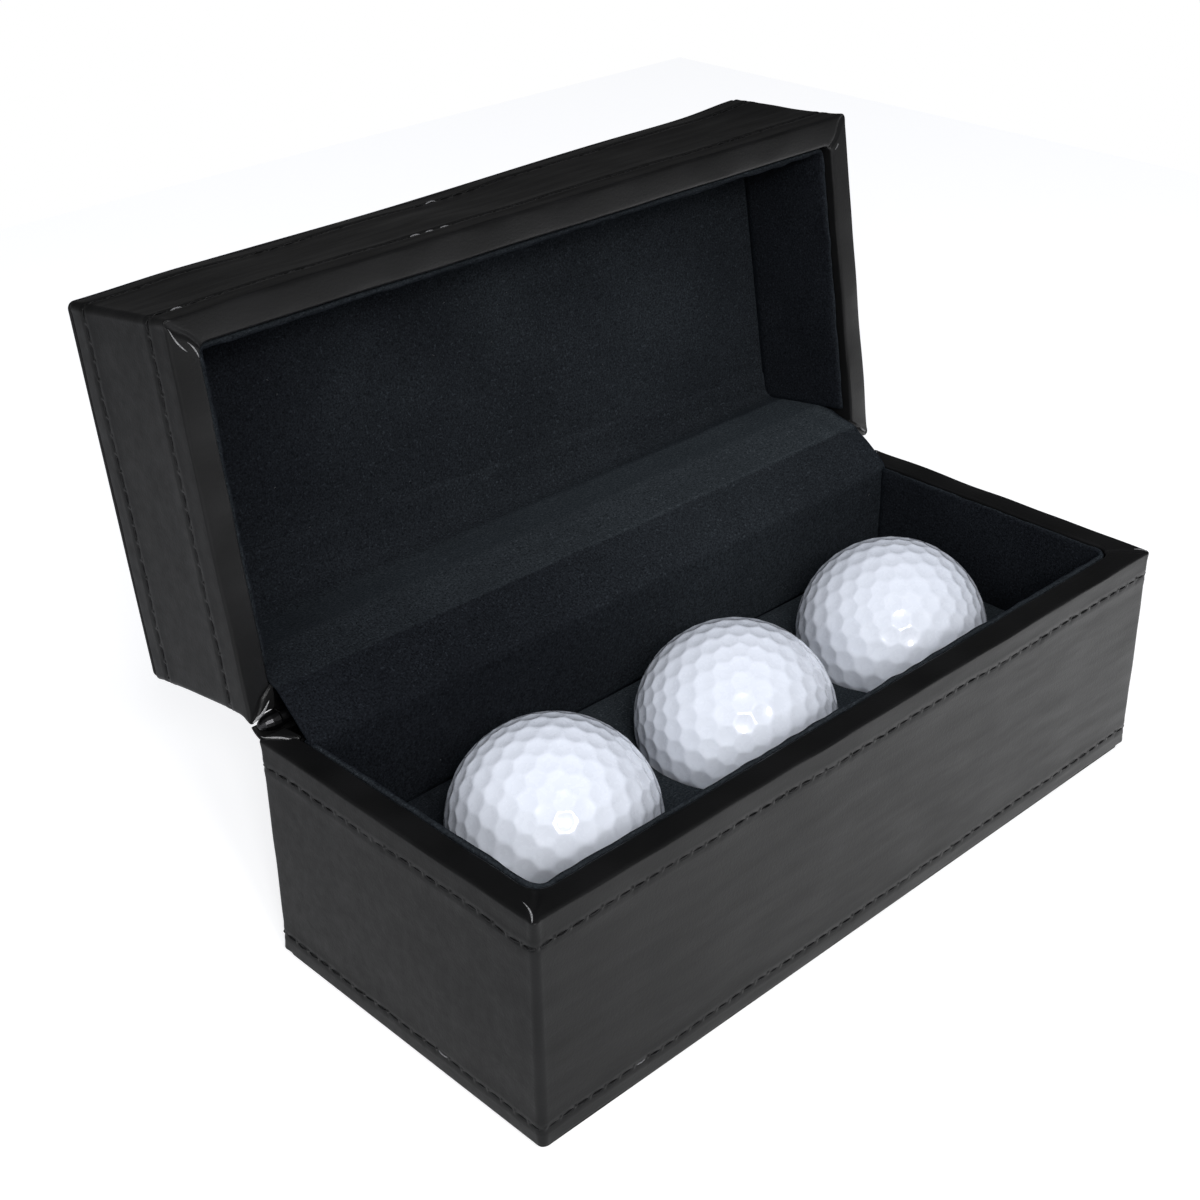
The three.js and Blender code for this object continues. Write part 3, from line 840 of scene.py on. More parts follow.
def stitches(half, row, name):
    """One row of stitches: each thread rises from a hole, lies in the groove and dips into the next."""
    rng = np.random.default_rng(41 + round(row / MM))
    shares = np.linspace(*THREAD_SPAN, 9)
    slant = rng.normal(0, THREAD_SLANT, (STITCHES, 1)) * MM
    s = np.arange(STITCHES)[:, None] * PITCH + shares[None, :] * PITCH
    depth = row_depth(half, row, s) + slant * (shares - 0.5)[None, :] * 4
    arch = np.sin(math.pi * (shares - 0.08) / 0.84) ** 0.5
    rise = (THREAD_START + THREAD_RISE * arch)[None, :] * MM
    rise = rise + rng.normal(0, THREAD_UNEVEN, (STITCHES, 1)) * MM
    face, out = face_only(half, s, depth)
    paths = warp(half, face + out * rise[..., None])
    radii = THREAD_RADIUS * np.sin(math.pi * np.clip(shares, *THREAD_SPAN)) ** 0.35
    pale = rng.random(STITCHES) < PALE_SHARES[name]
    if half.name == "lid" and row < half.depth / 2:
        cluster = np.abs(s.mean(axis=1) - PALE_CLUSTER_AT) < PALE_CLUSTER_REACH
        pale = pale | (cluster & (rng.random(STITCHES) < PALE_CLUSTER_SHARE))
    for label, mask, width, look in (
        ("dark", ~pale, 1.0, THREAD_LOOK),
        ("pale", pale, PALE_THREAD_WIDTH, PALE_THREAD_LOOK),
    ):
        if not mask.any():
            continue
        tubes = add_tubes(f"{half.name}_{name}_stitches_{label}", half.place(paths[mask]),
                          half_normals(half, out[mask]), radii * width, 6, look)
        hand_over(tubes, "leather", half.name)


def face_only(half, s, depth):
    """Points of the flat outer face and their outward directions."""
    x, y, out_x, out_y = outer_line(s)
    points = np.stack([x, y, half.height(depth)], axis=-1)
    return points, np.stack([out_x, out_y, np.zeros_like(x)], axis=-1)


def half_normals(half, normals):
    """Directions of a half, turned open with the lid."""
    if half.name != "lid":
        return normals
    c = math.cos(-OPEN)
    s = math.sin(-OPEN)
    y = normals[..., 1]
    z = normals[..., 2]
    return np.stack([normals[..., 0], y * c - z * s, y * s + z * c], axis=-1)


def surface_of(obj):
    """A search tree of a mesh, for laying small things on it."""
    points = [vertex.co.copy() for vertex in obj.data.vertices]
    faces = [list(face.vertices) for face in obj.data.polygons]
    return BVHTree.FromPolygons(points, faces)


def laid_on(tree, points, towards, lift):
    """Points moved along a direction onto a surface, then lifted off it a little."""
    towards = Vector(towards).normalized()
    placed = []
    for point in points:
        hit = tree.ray_cast(Vector(point) - towards * 4 * MM, towards, 8 * MM)[0]
        placed.append((hit if hit else Vector(point)) - towards * lift)
    return np.array([place[:] for place in placed])


# Raw edges on the rims: where each starts and ends in plan, in millimetres, how much it curls as a share of
# its length, and how many millimetres wide it is
RAW_EDGES = {
    "base": (
        ((-88.5, -33.1), (-91.0, -38.1), 0.10, 0.38),
        ((-90.2, 38.6), (-86.4, 34.2), 0.02, 0.50),
        ((90.6, -38.0), (89.0, -35.6), -0.10, 0.35),
        ((90.9, 37.6), (87.0, 34.2), -0.08, 0.40),
    ),
    "lid": (
        ((-90.4, -36.8), (-87.7, -32.0), 0.06, 0.34),
        ((-87.3, -33.7), (-85.6, -30.4), -0.08, 0.34),
        ((-86.1, 36.3), (-90.4, 39.3), -0.10, 0.80),
        ((86.4, -31.5), (87.6, -32.6), 0.10, 0.40),
        ((88.4, 36.0), (90.4, 37.6), 0.10, 0.50),
    ),
}


def raw_edges(half, leather):
    """Pale raw edges of the leather where it is cut at a mitre: thin slivers that lie on the rim."""
    tree = surface_of(leather)
    inward = half_normals(half, np.array([0.0, 0.0, float(half.inward)]))
    rings = []
    for start, end, curl, width in RAW_EDGES[half.name]:
        t = np.linspace(0, 1, 13)
        start = np.array(start) * MM
        run = np.array(end) * MM - start
        across = np.array([-run[1], run[0]])
        plan = start + run * t[:, None] + across * curl * np.sin(math.pi * t)[:, None]
        path = half.place(np.column_stack([plan, np.full(len(t), half.rim)]))
        radii = width / 2 * MM * (0.12 + 0.88 * np.sin(math.pi * t ** 1.3) ** 0.8)
        path = laid_on(tree, path, inward, 0.25 * width * MM)
        clearance = (path - half.place(np.array([[0.0, 0.0, SEAM]]))) @ inward
        path = path + np.maximum(radii + SEAM_LEAST - clearance, 0)[:, None] * inward
        rings.append((path, radii))
    paths = np.array([path for path, _ in rings])
    radii = np.array([radius for _, radius in rings])
    up = np.broadcast_to(-inward, paths.shape)
    made = add_tubes(f"{half.name}_raw_edges", paths, up, radii, 6, RAW_EDGE_LOOK)
    hand_over(made, "leather", half.name)


# Flat pieces with a worked edge

# The steps of a worked edge, as shares of its corner's radius
EDGE_STEPS = np.array([0, 0.04, 0.1, 0.2, 0.32, 0.46, 0.62, 0.8, 1.0, 1.25, 1.6, 2.0])


def edge_ticks(low, high, radius, spacing):
    """Even steps along one side of a plate, closer together near its ends."""
    inner = np.arange(low + 2 * radius, high - 2 * radius, spacing)
    edge = EDGE_STEPS * radius
    return np.unique(np.round(np.concatenate([low + edge, inner, high - edge]), 7))


def from_sides(x, y, low, high):
    """How far a place lies inside a rectangle's nearest side."""
    return np.minimum.reduce([x - low[0], high[0] - x, y - low[1], high[1] - y])


def plate(low, high, radius, spacing, top, bottom):
    """A closed plate over a rectangle with round corners. top and bottom give its heights from x, y and the
    inset from its edge, which is returned after its points and faces."""
    ticks = [edge_ticks(low[i], high[i], radius, spacing) for i in (0, 1)]
    gx, gy = np.meshgrid(*ticks, indexing="ij")
    cx = np.clip(gx, low[0] + radius, high[0] - radius)
    cy = np.clip(gy, low[1] + radius, high[1] - radius)
    dx = gx - cx
    dy = gy - cy
    length = np.hypot(dx, dy)
    largest = np.maximum(np.abs(dx), np.abs(dy))
    shrink = np.where(length > 0, largest / np.where(length > 0, length, 1), 1)
    px = cx + dx * shrink
    py = cy + dy * shrink
    in_corner = (np.abs(dx) > 0) & (np.abs(dy) > 0)
    inset = np.clip(np.where(in_corner, radius - largest, from_sides(px, py, low, high)), 0, None)
    upper = np.stack([px, py, top(px, py, inset)], axis=-1)
    lower = np.stack([px, py, bottom(px, py, inset)], axis=-1)
    return np.concatenate([upper.reshape(-1, 3), lower.reshape(-1, 3)]), two_sided(*gx.shape), inset


def rounded(inset, radius):
    """How far an edge rounded by radius lies under its flat, at an inset from the edge."""
    t = np.clip(1 - inset / radius, 0, 1)
    return radius * (1 - np.sqrt(1 - t ** 2))


def lid_top_panel():
    """The leather panel on top of the lid: a thin crowned sheet with a soft, slightly sunk border."""
    low, high = shut_box("lid_top_leather")
    edge = 0.36 * MM

    def top(x, y, inset):
        points = np.stack([x, y, np.zeros_like(x)], axis=-1)
        crown = 0.5 * MM * smooth_step(inset, 0, 16 * MM)
        waves = 0.10 * MM * ripple(points, 26 * MM, 21) * smooth_step(inset, 0, 4 * MM)
        return high[2] - rounded(inset, edge) + crown + waves

    def bottom(x, y, inset):
        return np.full_like(x, low[2]) + rounded(inset, edge)

    points, faces, inset = plate(low, high, OUTER_RADIUS, 1.6 * MM, top, bottom)
    made = add_mesh("lid_top_panel", opened(warp(LID, points)), faces, LEATHER_LOOK)
    # a paler, shinier border: partly wear, partly a painted highlight
    wear = hump(np.concatenate([inset.reshape(-1)] * 2) - 0.3 * MM, 0.5 * MM) * 0.8
    set_field(made, "wear", wear)
    hand_over(made, "leather", "lid", "lid_top_leather")


def base_bottom_sheet():
    """The paper under the base."""
    low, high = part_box("base_bottom_sheet")

    def top(x, y, inset):
        return np.full_like(x, high[2]) - rounded(inset, 0.2 * MM)

    def bottom(x, y, inset):
        return np.full_like(x, low[2]) + rounded(inset, 0.3 * MM)

    points, faces, _ = plate(low, high, OUTER_RADIUS, 4 * MM, top, bottom)
    made = add_mesh("base_bottom_paper", points, faces, SHEET_LOOK)
    hand_over(made, "sheet", "base", "base_bottom_sheet")


# Velvet-covered cards

# A card's thickness, the gap at its rear ends, its spacing and its points round a corner
CARD = LINER_OUT_X - ROOM_X
CARD_REAR_GAP = 0.7 * MM
CARD_SPACING = 1.1 * MM
CARD_CORNER_POINTS = 9

# Waves, each a height, a scale and a seed: the cards' fronts (heights in millimetres) and the ceiling
CARD_WAVES = ((0.14, 22 * MM, 31), (0.10, 6 * MM, 32))
CEILING_WAVES = ((0.22 * MM, 40 * MM, 51), (0.10 * MM, 14 * MM, 52))

# Along x, the share of painted light on the ceiling, a lighter tone that stands in for sheen and light
CEILING_PAINTED_LIGHT = ((-75 * MM, -20 * MM, 20 * MM, 75 * MM), (0.05, 0.24, 0.33, 0.30))


def card_line(half):
    """The U of the wall cards in plan, from the left rear round the front to the right rear: outer points
    and directions into the room."""
    turn = half.inner_radius - FIT
    rear = ROOM_REAR_Y - CARD_REAR_GAP
    front = LINER_OUT_Y + turn
    end = LINER_OUT_X - turn
    side = np.linspace(rear, front, round((rear - front) / CARD_SPACING))[:-1]
    left = [(-LINER_OUT_X, y, 1.0, 0.0) for y in side]
    corner = []
    for a in np.linspace(0, math.pi / 2, CARD_CORNER_POINTS):
        c = math.cos(a)
        s = math.sin(a)
        corner.append((-LINER_OUT_X + turn * (1 - c), front - turn * s, c, s))
    middle = [(x, LINER_OUT_Y, 0.0, 1.0)
              for x in np.linspace(-end, end, round(2 * LINER_OUT_X / CARD_SPACING))[1:-1]]
    right = [(-x, y, -nx, ny) for x, y, nx, ny in (left + corner)[::-1]]
    return np.array(left + corner + middle + right)


def wall_cards(half):
    """The velvet round the room's left, front and right walls: one covered card with a full top edge."""
    node = f"{half.name}_left_liner"
    low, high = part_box(node) if half.name == "base" else shut_box(node)
    start = (low[2] if half.inward > 0 else high[2]) + half.inward * half.card_drop
    stop = high[2] if half.inward > 0 else low[2]
    line = card_line(half)
    r = CARD / 2
    depth = abs(stop - start)
    section = [(r - r * math.cos(a), r - r * math.sin(a)) for a in np.linspace(0, math.pi, 9)]
    section += [(CARD, d) for d in np.linspace(r, depth, 16)[1:]]
    section += [(0.0, d) for d in np.linspace(depth, r, 6)[:-1]]
    across, deep = np.array(section).T[:, None, :]
    x = line[:, None, 0] + line[:, None, 2] * across
    y = line[:, None, 1] + line[:, None, 3] * across
    points = np.stack([x, y, start + half.inward * deep + 0 * x], axis=-1)
    free = smooth_step(across, 0.3 * CARD, CARD) * (1 - smooth_step(deep, depth - 2 * MM, depth))
    puff = waves_of(points, CARD_WAVES) * MM * free
    points[..., 0] += line[:, None, 2] * puff
    points[..., 1] += line[:, None, 3] * puff
    at_top = 1 - smooth_step(deep, 0, 1.5 * MM)
    points[..., 2] -= half.inward * 0.12 * MM * ripple(points, 5 * MM, 33) * at_top
    rows, columns = points.shape[:2]
    points = half.place(points).reshape(-1, 3)
    made = add_mesh(f"{half.name}_wall_velvet", points, tube_faces(rows, columns), VELVET_LOOK)
    # painted sheen: the outer half of the card's top edge gets half the lighter tone
    edge = (1 - smooth_step(deep, 0, 0.8 * MM)) * (1 - smooth_step(across, 0.3 * CARD, 0.9 * CARD))
    set_field(made, "nap", np.broadcast_to(0.5 * edge, (rows, columns)).reshape(-1))
    liners = [f"{half.name}_{side}_liner" for side in ("left", "front", "right")]
    hand_over(made, "velvet", half.name, *liners)


def ceiling_painted_light(points):
    """The ceiling's painted light, a lighter tone that stands in for sheen and light: little at the left, more
    from the middle on.
    """
    return np.clip(np.interp(points[..., 0], *CEILING_PAINTED_LIGHT) + 0.04 * ripple(points, 30 * MM, 53), 0, 1)


def lid_ceiling():
    """The velvet card under the lid's top, a little crowned."""
    low, high = shut_box("lid_ceiling_liner")

    def room_side(x, y, inset):
        points = np.stack([x, y, np.zeros_like(x)], axis=-1)
        crown = waves_of(points, CEILING_WAVES) + 0.1 * MM
        return low[2] + rounded(inset, 0.5 * MM) + crown * smooth_step(inset, 0, 8 * MM)

    def far_side(x, y, inset):
        return np.full_like(x, high[2]) - rounded(inset, 0.3 * MM)

    points, faces, _ = plate(low, high, 0.8 * MM, 1.6 * MM, room_side, far_side)
    made = add_mesh("lid_ceiling_velvet", opened(points), faces, VELVET_LOOK)
    set_field(made, "nap", ceiling_painted_light(points))
    hand_over(made, "velvet", "lid", "lid_ceiling_liner")
    return made


# The velvet over the hinge

# The cloth's thickness and its gap to the walls, its crease in (y, z), the length of its band on the lid's
# back and where the band ends, and from where to where the hinge bends it
LINING = 0.55 * MM
CLOTH_GAP = 0.05 * MM
CREASE = (40.25 * MM, 58.4 * MM)
BAND_LENGTH = 17.2 * MM
BAND_END_Y = 62.6 * MM

# Along x: the reach of the hollow at the ceiling, and the share of painted light on the band and on the wall,
# a lighter tone that stands in for sheen and light
HOLLOW = ((-83 * MM, 0, 62 * MM, 83 * MM), (9.5 * MM, 7 * MM, 4.5 * MM, 3.5 * MM))
BAND_PAINTED_LIGHT = ((-80 * MM, -20 * MM, 30 * MM, 70 * MM), (0.17, 0.56, 0.80, 0.95))
WALL_PAINTED_LIGHT = ((-70 * MM, -20 * MM, 0, 40 * MM, 75 * MM), (0.0, 0.08, 0.24, 0.46, 0.28))

# The cloth's slack over the hinge, and the folds at its right-hand end: their height and how far they reach
CLOTH_WAVES = ((0.16 * MM, 26 * MM, 61), (0.07 * MM, 9 * MM, 62))
FOLD_HEIGHT = 0.55 * MM
FOLD_REACH = 24 * MM

# The gutter's half length, its thickness and its section's corners in (y, z)
GUTTER_HALF = 89.4 * MM
GUTTER_THICKNESS = 0.5 * MM
GUTTER_CORNERS = ((38.85 * MM, 42.6 * MM), (38.85 * MM, 49.35 * MM), (41.3 * MM, 49.45 * MM),
                  (42.8 * MM, 50.9 * MM))

# How far the springs drop from their nodes at the barrel, to stay under the cloth
SPRING_DROP = 0.25 * MM


def resampled(points, spacing, count=None):
    """A polyline's points at even spacing."""
    points = np.asarray(points, float)
    lengths = np.concatenate([[0], np.cumsum(np.linalg.norm(np.diff(points, axis=0), axis=1))])
    count = count or max(2, round(lengths[-1] / spacing))
    at = np.linspace(0, lengths[-1], count + 1)
    return np.column_stack([np.interp(at, lengths, points[:, i]) for i in range(points.shape[1])])


def rounded_line(corners, radii, step=0.25 * MM, count=None):
    """A line through corners, each turned on an arc of about its radius, in even steps or a set number."""
    corners = [np.array(c, float) for c in corners]
    line = [corners[0]]
    for before, corner, after, radius in zip(corners, corners[1:], corners[2:], radii):
        far_back = np.linalg.norm(before - corner)
        far_on = np.linalg.norm(after - corner)
        reach = min(radius, 0.8 * far_back, 0.8 * far_on)
        start = corner + (before - corner) / far_back * reach
        end = corner + (after - corner) / far_on * reach
        for t in np.linspace(0, 1, 9):
            line.append((1 - t) ** 2 * start + 2 * t * (1 - t) * corner + t ** 2 * end)
    line.append(corners[-1])
    return resampled(line, step, count)


def run_length(line):
    """A polyline's length."""
    return float(np.linalg.norm(np.diff(line, axis=0), axis=1).sum())


def swept(xs, lines, side=1):
    """Sections in (y, z) set side by side along x: their points, and the directions out of the surface."""
    along = np.gradient(lines, axis=0)
    along /= np.linalg.norm(along, axis=2, keepdims=True)
    normal = side * np.stack([0 * along[..., 0], -along[..., 1], along[..., 0]], axis=-1)
    centre = np.concatenate([np.broadcast_to(xs[None, :, None], (*lines.shape[:2], 1)), lines], axis=2)
    return centre, normal


def band_corner():
    """In (y, z) of the open lid: where the cloth over the lid's back would meet the ceiling, and the
    directions along its band and up the ceiling."""
    gap = LINING / 2 + CLOTH_GAP
    ceiling = shut_box("lid_ceiling_liner")[0][2]
    corner = opened(np.array([0, ROOM_REAR_Y - gap, ceiling - gap]))[1:]
    up_ceiling = half_normals(LID, np.array([0.0, -1.0, 0.0]))[1:]
    along_band = half_normals(LID, np.array([0.0, 0.0, 1.0]))[1:]
    return corner, along_band, up_ceiling


def hinge_lines(xs):
    """The cloth's section for each x: straight up the back wall and over to a crease, then along the lid's
    back and round a hollow into its ceiling. The hollow is wide at the left and tight at the right."""
    corner, along_band, up_ceiling = band_corner()
    up = ROOM_REAR_Y - LINING / 2 - CLOTH_GAP
    band_start = corner - along_band * BAND_LENGTH
    lower = rounded_line(
        [(up, TRAY_TOP + 0.1 * MM), (up, 50.5 * MM), CREASE, band_start, band_start + along_band * MM],
        [1.4 * MM, 0.45 * MM, 2.5 * MM],
    )
    lines = []
    for x in xs:
        hollow = np.interp(x, *HOLLOW)
        end = corner + up_ceiling * (hollow + 2.5 * MM)
        dive = end + up_ceiling * 1.5 * MM + along_band * 0.9 * MM
        upper = rounded_line([lower[-1], corner, end, dive], [hollow, 1.0 * MM], count=100)
        lines.append(np.concatenate([lower, upper[1:]]))
    return np.array(lines).transpose(1, 0, 2)


def hinge_painted_light(xs, centre):
    """The cloth's painted light, a lighter tone that stands in for sheen and light: on the back wall, past the
    crease on the lid's back, raised on the band's rear part where shade falls, on the ceiling beyond, and a
    painted highlight along the fold."""
    y = centre[..., 1]
    past = smooth_step(y, CREASE[0] - 0.2 * MM, CREASE[0] + 0.3 * MM)
    soft_edge = np.interp(xs, [-80 * MM, 10 * MM], [3 * MM, 1 * MM])[None, :]
    beyond = smooth_step(y, BAND_END_Y - soft_edge, BAND_END_Y + soft_edge)
    # painted light raised on the band's rear part, to cover the shade that falls there
    lift_in_shade = 1 + 0.17 * smooth_step(y, 49.5 * MM, 52 * MM)
    band_painted_light = np.interp(xs, *BAND_PAINTED_LIGHT)[None, :]
    wall_painted_light = np.interp(xs, *WALL_PAINTED_LIGHT)[None, :]
    # a painted highlight along the crease
    fold_highlight = 0.4 * hump(y - CREASE[0], 0.3 * MM) * smooth_step(xs, -30 * MM, 20 * MM)[None, :]
    band = band_painted_light * lift_in_shade * past * (1 - beyond)
    return np.clip(wall_painted_light * (1 - past) + band + ceiling_painted_light(centre) * beyond + fold_highlight, 0, 1)


def hinge_velvet():
    """One velvet cloth from the tray up the back wall, over the hinge and along the lid's back."""
    half = LINER_OUT_X - 0.15 * MM
    xs = np.linspace(-half, half, 190)
    lines = hinge_lines(xs)
    centre, normal = swept(xs, lines)
    y = lines[..., 0]
    z = lines[..., 1]
    free = smooth_step(z, 49 * MM, 53 * MM) * (1 - smooth_step(y, 47 * MM, 52 * MM))
    at_end = smooth_step(xs, half - FOLD_REACH, half)[None, :]
    soft = waves_of(centre, CLOTH_WAVES)
    folds = FOLD_HEIGHT * ripple(centre * np.array([1.0, 0.6, 0.6]), 8 * MM, 63) * at_end
    on_lid = 0.06 * MM * ripple(centre, 12 * MM, 64) * smooth_step(y, 46 * MM, 52 * MM)
    raised = np.maximum((soft + folds) * free + on_lid, -0.12 * MM)
    made = add_sheet("hinge_velvet", centre, normal, raised, LINING, VELVET_LOOK)
    set_field(made, "nap", np.concatenate([hinge_painted_light(xs, centre).reshape(-1)] * 2))
    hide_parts("hinge_lining")
    run_length(lines[:, len(xs) // 2])
    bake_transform(made)
    return made


def hinge_gutter():
    """A leather strip on the base's back that curls under the hinge's barrel and shuts the gap below it."""
    section = rounded_line(GUTTER_CORNERS, [0.8 * MM, 1.6 * MM], 0.3 * MM)
    xs = np.linspace(-GUTTER_HALF, GUTTER_HALF, 180)
    lines = np.broadcast_to(section[:, None, :], (len(section), len(xs), 2))
    centre, normal = swept(xs, lines, side=-1)
    lift = 0.05 * MM * ripple(centre, 9 * MM, 65)
    made = add_sheet("hinge_gutter", centre, normal, lift, GUTTER_THICKNESS, LEATHER_LOOK)
    run_length(section)
    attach(made, "base")


def bow_springs():
    """The flat springs under the velvet: steel copies of their nodes, dropped a little towards the barrel to stay
    under the cloth.
    """
    for side in ("left", "right"):
        node = frame["nodes"][f"{side}_bow_spring"]
        spring = bpy.data.objects.new(f"{side}_spring_strip", node.data.copy())
        bpy.context.scene.collection.objects.link(spring)
        for vertex in spring.data.vertices:
            vertex.co.z -= SPRING_DROP * float(smooth_step(vertex.co.y, 38 * MM, 42 * MM))
        spring.data.materials.clear()
        spring.data.materials.append(STEEL_LOOK)
        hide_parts(f"{side}_bow_spring")
        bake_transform(spring)


# The tray

def ball_centre(number):
    """A ball's middle."""
    low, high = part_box(f"golf_ball_{number}")
    return (low + high) / 2


BALL_RADIUS = (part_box("golf_ball_1")[1][0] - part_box("golf_ball_1")[0][0]) / 2
WELL_RADIUS = BALL_RADIUS + 0.16 * MM
WELL_LIP = 1.4 * MM
WELL_SIDES = 120
WELL_CLEARANCE = 0.7 * MM
TRAY_EDGE = 1.2 * MM
TRAY_STEPS = np.array([0, 0.08, 0.22, 0.45, 0.8, 1.2]) * MM
TRAY_SPACING = 1.3 * MM
TRAY_WAVES = ((0.08 * MM, 30 * MM, 71), (0.05 * MM, 9 * MM, 72))

# Along x, the share of painted light on the tray: painted shade at the left end, lighter towards the right
TRAY_PAINTED_LIGHT = ((-78 * MM, -60 * MM, -25 * MM, 80 * MM), (0.05, 0.2, 0.7, 0.8))


def well_section():
    """A well's section from its lip to its bottom: distances from its middle, heights and tilts."""
    drop = ball_centre(1)[2] - (TRAY_TOP - WELL_LIP)
    past = WELL_RADIUS + WELL_LIP
    lip_reach = math.sqrt(past ** 2 - drop ** 2)
    steep = math.acos(drop / past)
    section = []
    for tilt in np.linspace(0, steep, 8):
        height = TRAY_TOP - WELL_LIP * (1 - math.cos(tilt))
        section.append((lip_reach - WELL_LIP * math.sin(tilt), height, tilt))
    for tilt in np.linspace(steep, 0, 26)[1:-1]:
        height = ball_centre(1)[2] - WELL_RADIUS * math.cos(tilt)
        section.append((WELL_RADIUS * math.sin(tilt), height, tilt))
    return np.array(section)


def tray_ticks(low, high):
    """Even steps across the tray, closer together at its edges."""
    inner = np.arange(low + 2.4 * MM, high - 2 * MM, TRAY_SPACING)
    return np.concatenate([low + TRAY_STEPS, inner, high - TRAY_STEPS[::-1]])


def from_nearest(points, centres):
    """How far each point lies from the nearest of some centres."""
    return np.min([np.linalg.norm(points - centre, axis=1) for centre in centres], axis=0)


def tray_plan(low, high, reach):
    """The tray's flat part as triangles, with a round hole at each well: its points, its triangles, the
    points of each hole's edge and those of the outer edge."""
    gx, gy = np.meshgrid(*(tray_ticks(low[i], high[i]) for i in (0, 1)), indexing="ij")
    border = grid_border(*gx.shape)
    grid = np.column_stack([gx.reshape(-1), gy.reshape(-1)])
    centres = [ball_centre(number)[:2] for number in (1, 2, 3)]
    keep = from_nearest(grid, centres) > reach + WELL_CLEARANCE
    keep[border] = True
    new_place = np.cumsum(keep) - 1
    points = [tuple(point) for point in grid[keep]]
    border = [int(new_place[i]) for i in border]
    angles = np.arange(WELL_SIDES) * 2 * math.pi / WELL_SIDES
    holes = []
    for centre in centres:
        first = len(points)
        points += [(centre[0] + reach * math.cos(a), centre[1] + reach * math.sin(a)) for a in angles]
        holes.append(list(range(first, first + WELL_SIDES)))
    edges = [(a, b) for loop in (border, *holes) for a, b in zip(loop, loop[1:] + loop[:1])]
    flat, _, triangles, originals, _, _ = delaunay_2d_cdt([Vector(p) for p in points], edges, [], 0, 1e-7)
    flat = np.array([p[:] for p in flat])
    place = {old: new for new, olds in enumerate(originals) for old in olds}
    middle = np.array([flat[list(t)].mean(axis=0) for t in triangles])
    outside = from_nearest(middle, centres) > reach * math.cos(math.pi / WELL_SIDES)
    triangles = [list(t) for t, kept in zip(triangles, outside) if kept]
    return flat, triangles, [[place[i] for i in loop] for loop in holes], [place[i] for i in border]


def tray_shell(name, upper, lower, look):
    """A closed piece of the tray. upper and lower are how far its two sides lie under the tray's face, and
    where lower is None the underside is flat, at the foam's foot."""
    low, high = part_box("ball_tray_velvet")
    section = well_section()
    flat, triangles, holes, border = tray_plan(low, high, section[0, 0])
    edge = from_sides(flat[:, 0], flat[:, 1], low, high)
    angles = np.arange(WELL_SIDES) * 2 * math.pi / WELL_SIDES
    around = np.column_stack([np.cos(angles), np.sin(angles)])
    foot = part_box("ball_tray_foam")[0][2]
    sides = []
    for under in (upper, lower):
        depth = upper if under is None else under
        height = TRAY_TOP - depth - rounded(edge, TRAY_EDGE)
        parts = [np.column_stack([flat, height])]
        for number in (1, 2, 3):
            centre = ball_centre(number)
            for reach, z, tilt in section[1:]:
                plan = centre[:2] + around * (reach + depth * math.sin(tilt))
                parts.append(np.column_stack([plan, np.full(WELL_SIDES, z - depth * math.cos(tilt))]))
            parts.append(np.array([[*centre[:2], centre[2] - WELL_RADIUS - depth]]))
        points = np.concatenate(parts)
        soft = waves_of(points * np.array([1, 1, 0]), TRAY_WAVES)
        points[:, 2] += soft * smooth_step(points[:, 2], TRAY_TOP - depth - 1.5 * MM, TRAY_TOP - depth)
        if under is None:
            points[:, 2] = foot
        sides.append(points)
    faces = list(triangles)
    rings = len(section) - 1
    each = rings * WELL_SIDES + 1
    for number, hole in enumerate(holes):
        first = len(flat) + number * each
        loops = [hole]
        for start in range(first, first + rings * WELL_SIDES, WELL_SIDES):
            loops.append(list(range(start, start + WELL_SIDES)))
        for outer, inner in zip(loops, loops[1:]):
            for k in range(WELL_SIDES):
                j = (k + 1) % WELL_SIDES
                faces.append([outer[k], outer[j], inner[j], inner[k]])
        bottom = first + rings * WELL_SIDES
        faces += [[loops[-1][k], loops[-1][(k + 1) % WELL_SIDES], bottom] for k in range(WELL_SIDES)]
    count = len(sides[0])
    faces += [[i + count for i in face[::-1]] for face in faces]
    return add_mesh(name, np.concatenate(sides), faces + edge_faces(border, count), look)


def tray():
    """The foam tray and its velvet cover, each with three wells."""
    low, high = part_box("ball_tray_velvet")
    foam_gap = high[2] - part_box("ball_tray_foam")[1][2]
    foam = tray_shell("tray_foam", foam_gap, None, FOAM_LOOK)
    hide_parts("ball_tray_foam")
    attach(foam, "base")
    cloth = tray_shell("tray_velvet", 0.0, foam_gap - FIT, VELVET_LOOK)
    places = np.array([vertex.co.x for vertex in cloth.data.vertices])
    # painted light on the tray's velvet, with painted shade at its left end
    set_field(cloth, "nap", np.interp(places, *TRAY_PAINTED_LIGHT))
    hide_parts("ball_tray_velvet")
    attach(cloth, "base")


# Golf balls

# Rows of dimples on each face of the icosahedron, their depth, their reach as a share of their spacing, how
# soft their rims are, the mesh's subdivisions, and how each ball is turned about X, Y and Z
DIMPLE_ROWS = 6
DIMPLE_DEPTH = 0.27 * MM
DIMPLE_REACH = 0.50
DIMPLE_SOFTNESS = 0.012
BALL_DETAIL = 7
BALL_TURNS_DEG = ((14, 33, 52), (68, 21, 115), (41, 75, 200))


def icosphere(subdivisions):
    """A unit icosphere's points and faces. One subdivision is a plain icosahedron."""
    work = bmesh.new()
    bmesh.ops.create_icosphere(work, subdivisions=subdivisions, radius=1.0)
    points = np.array([vertex.co[:] for vertex in work.verts])
    faces = [[vertex.index for vertex in face.verts] for face in work.faces]
    work.free()
    return points, faces


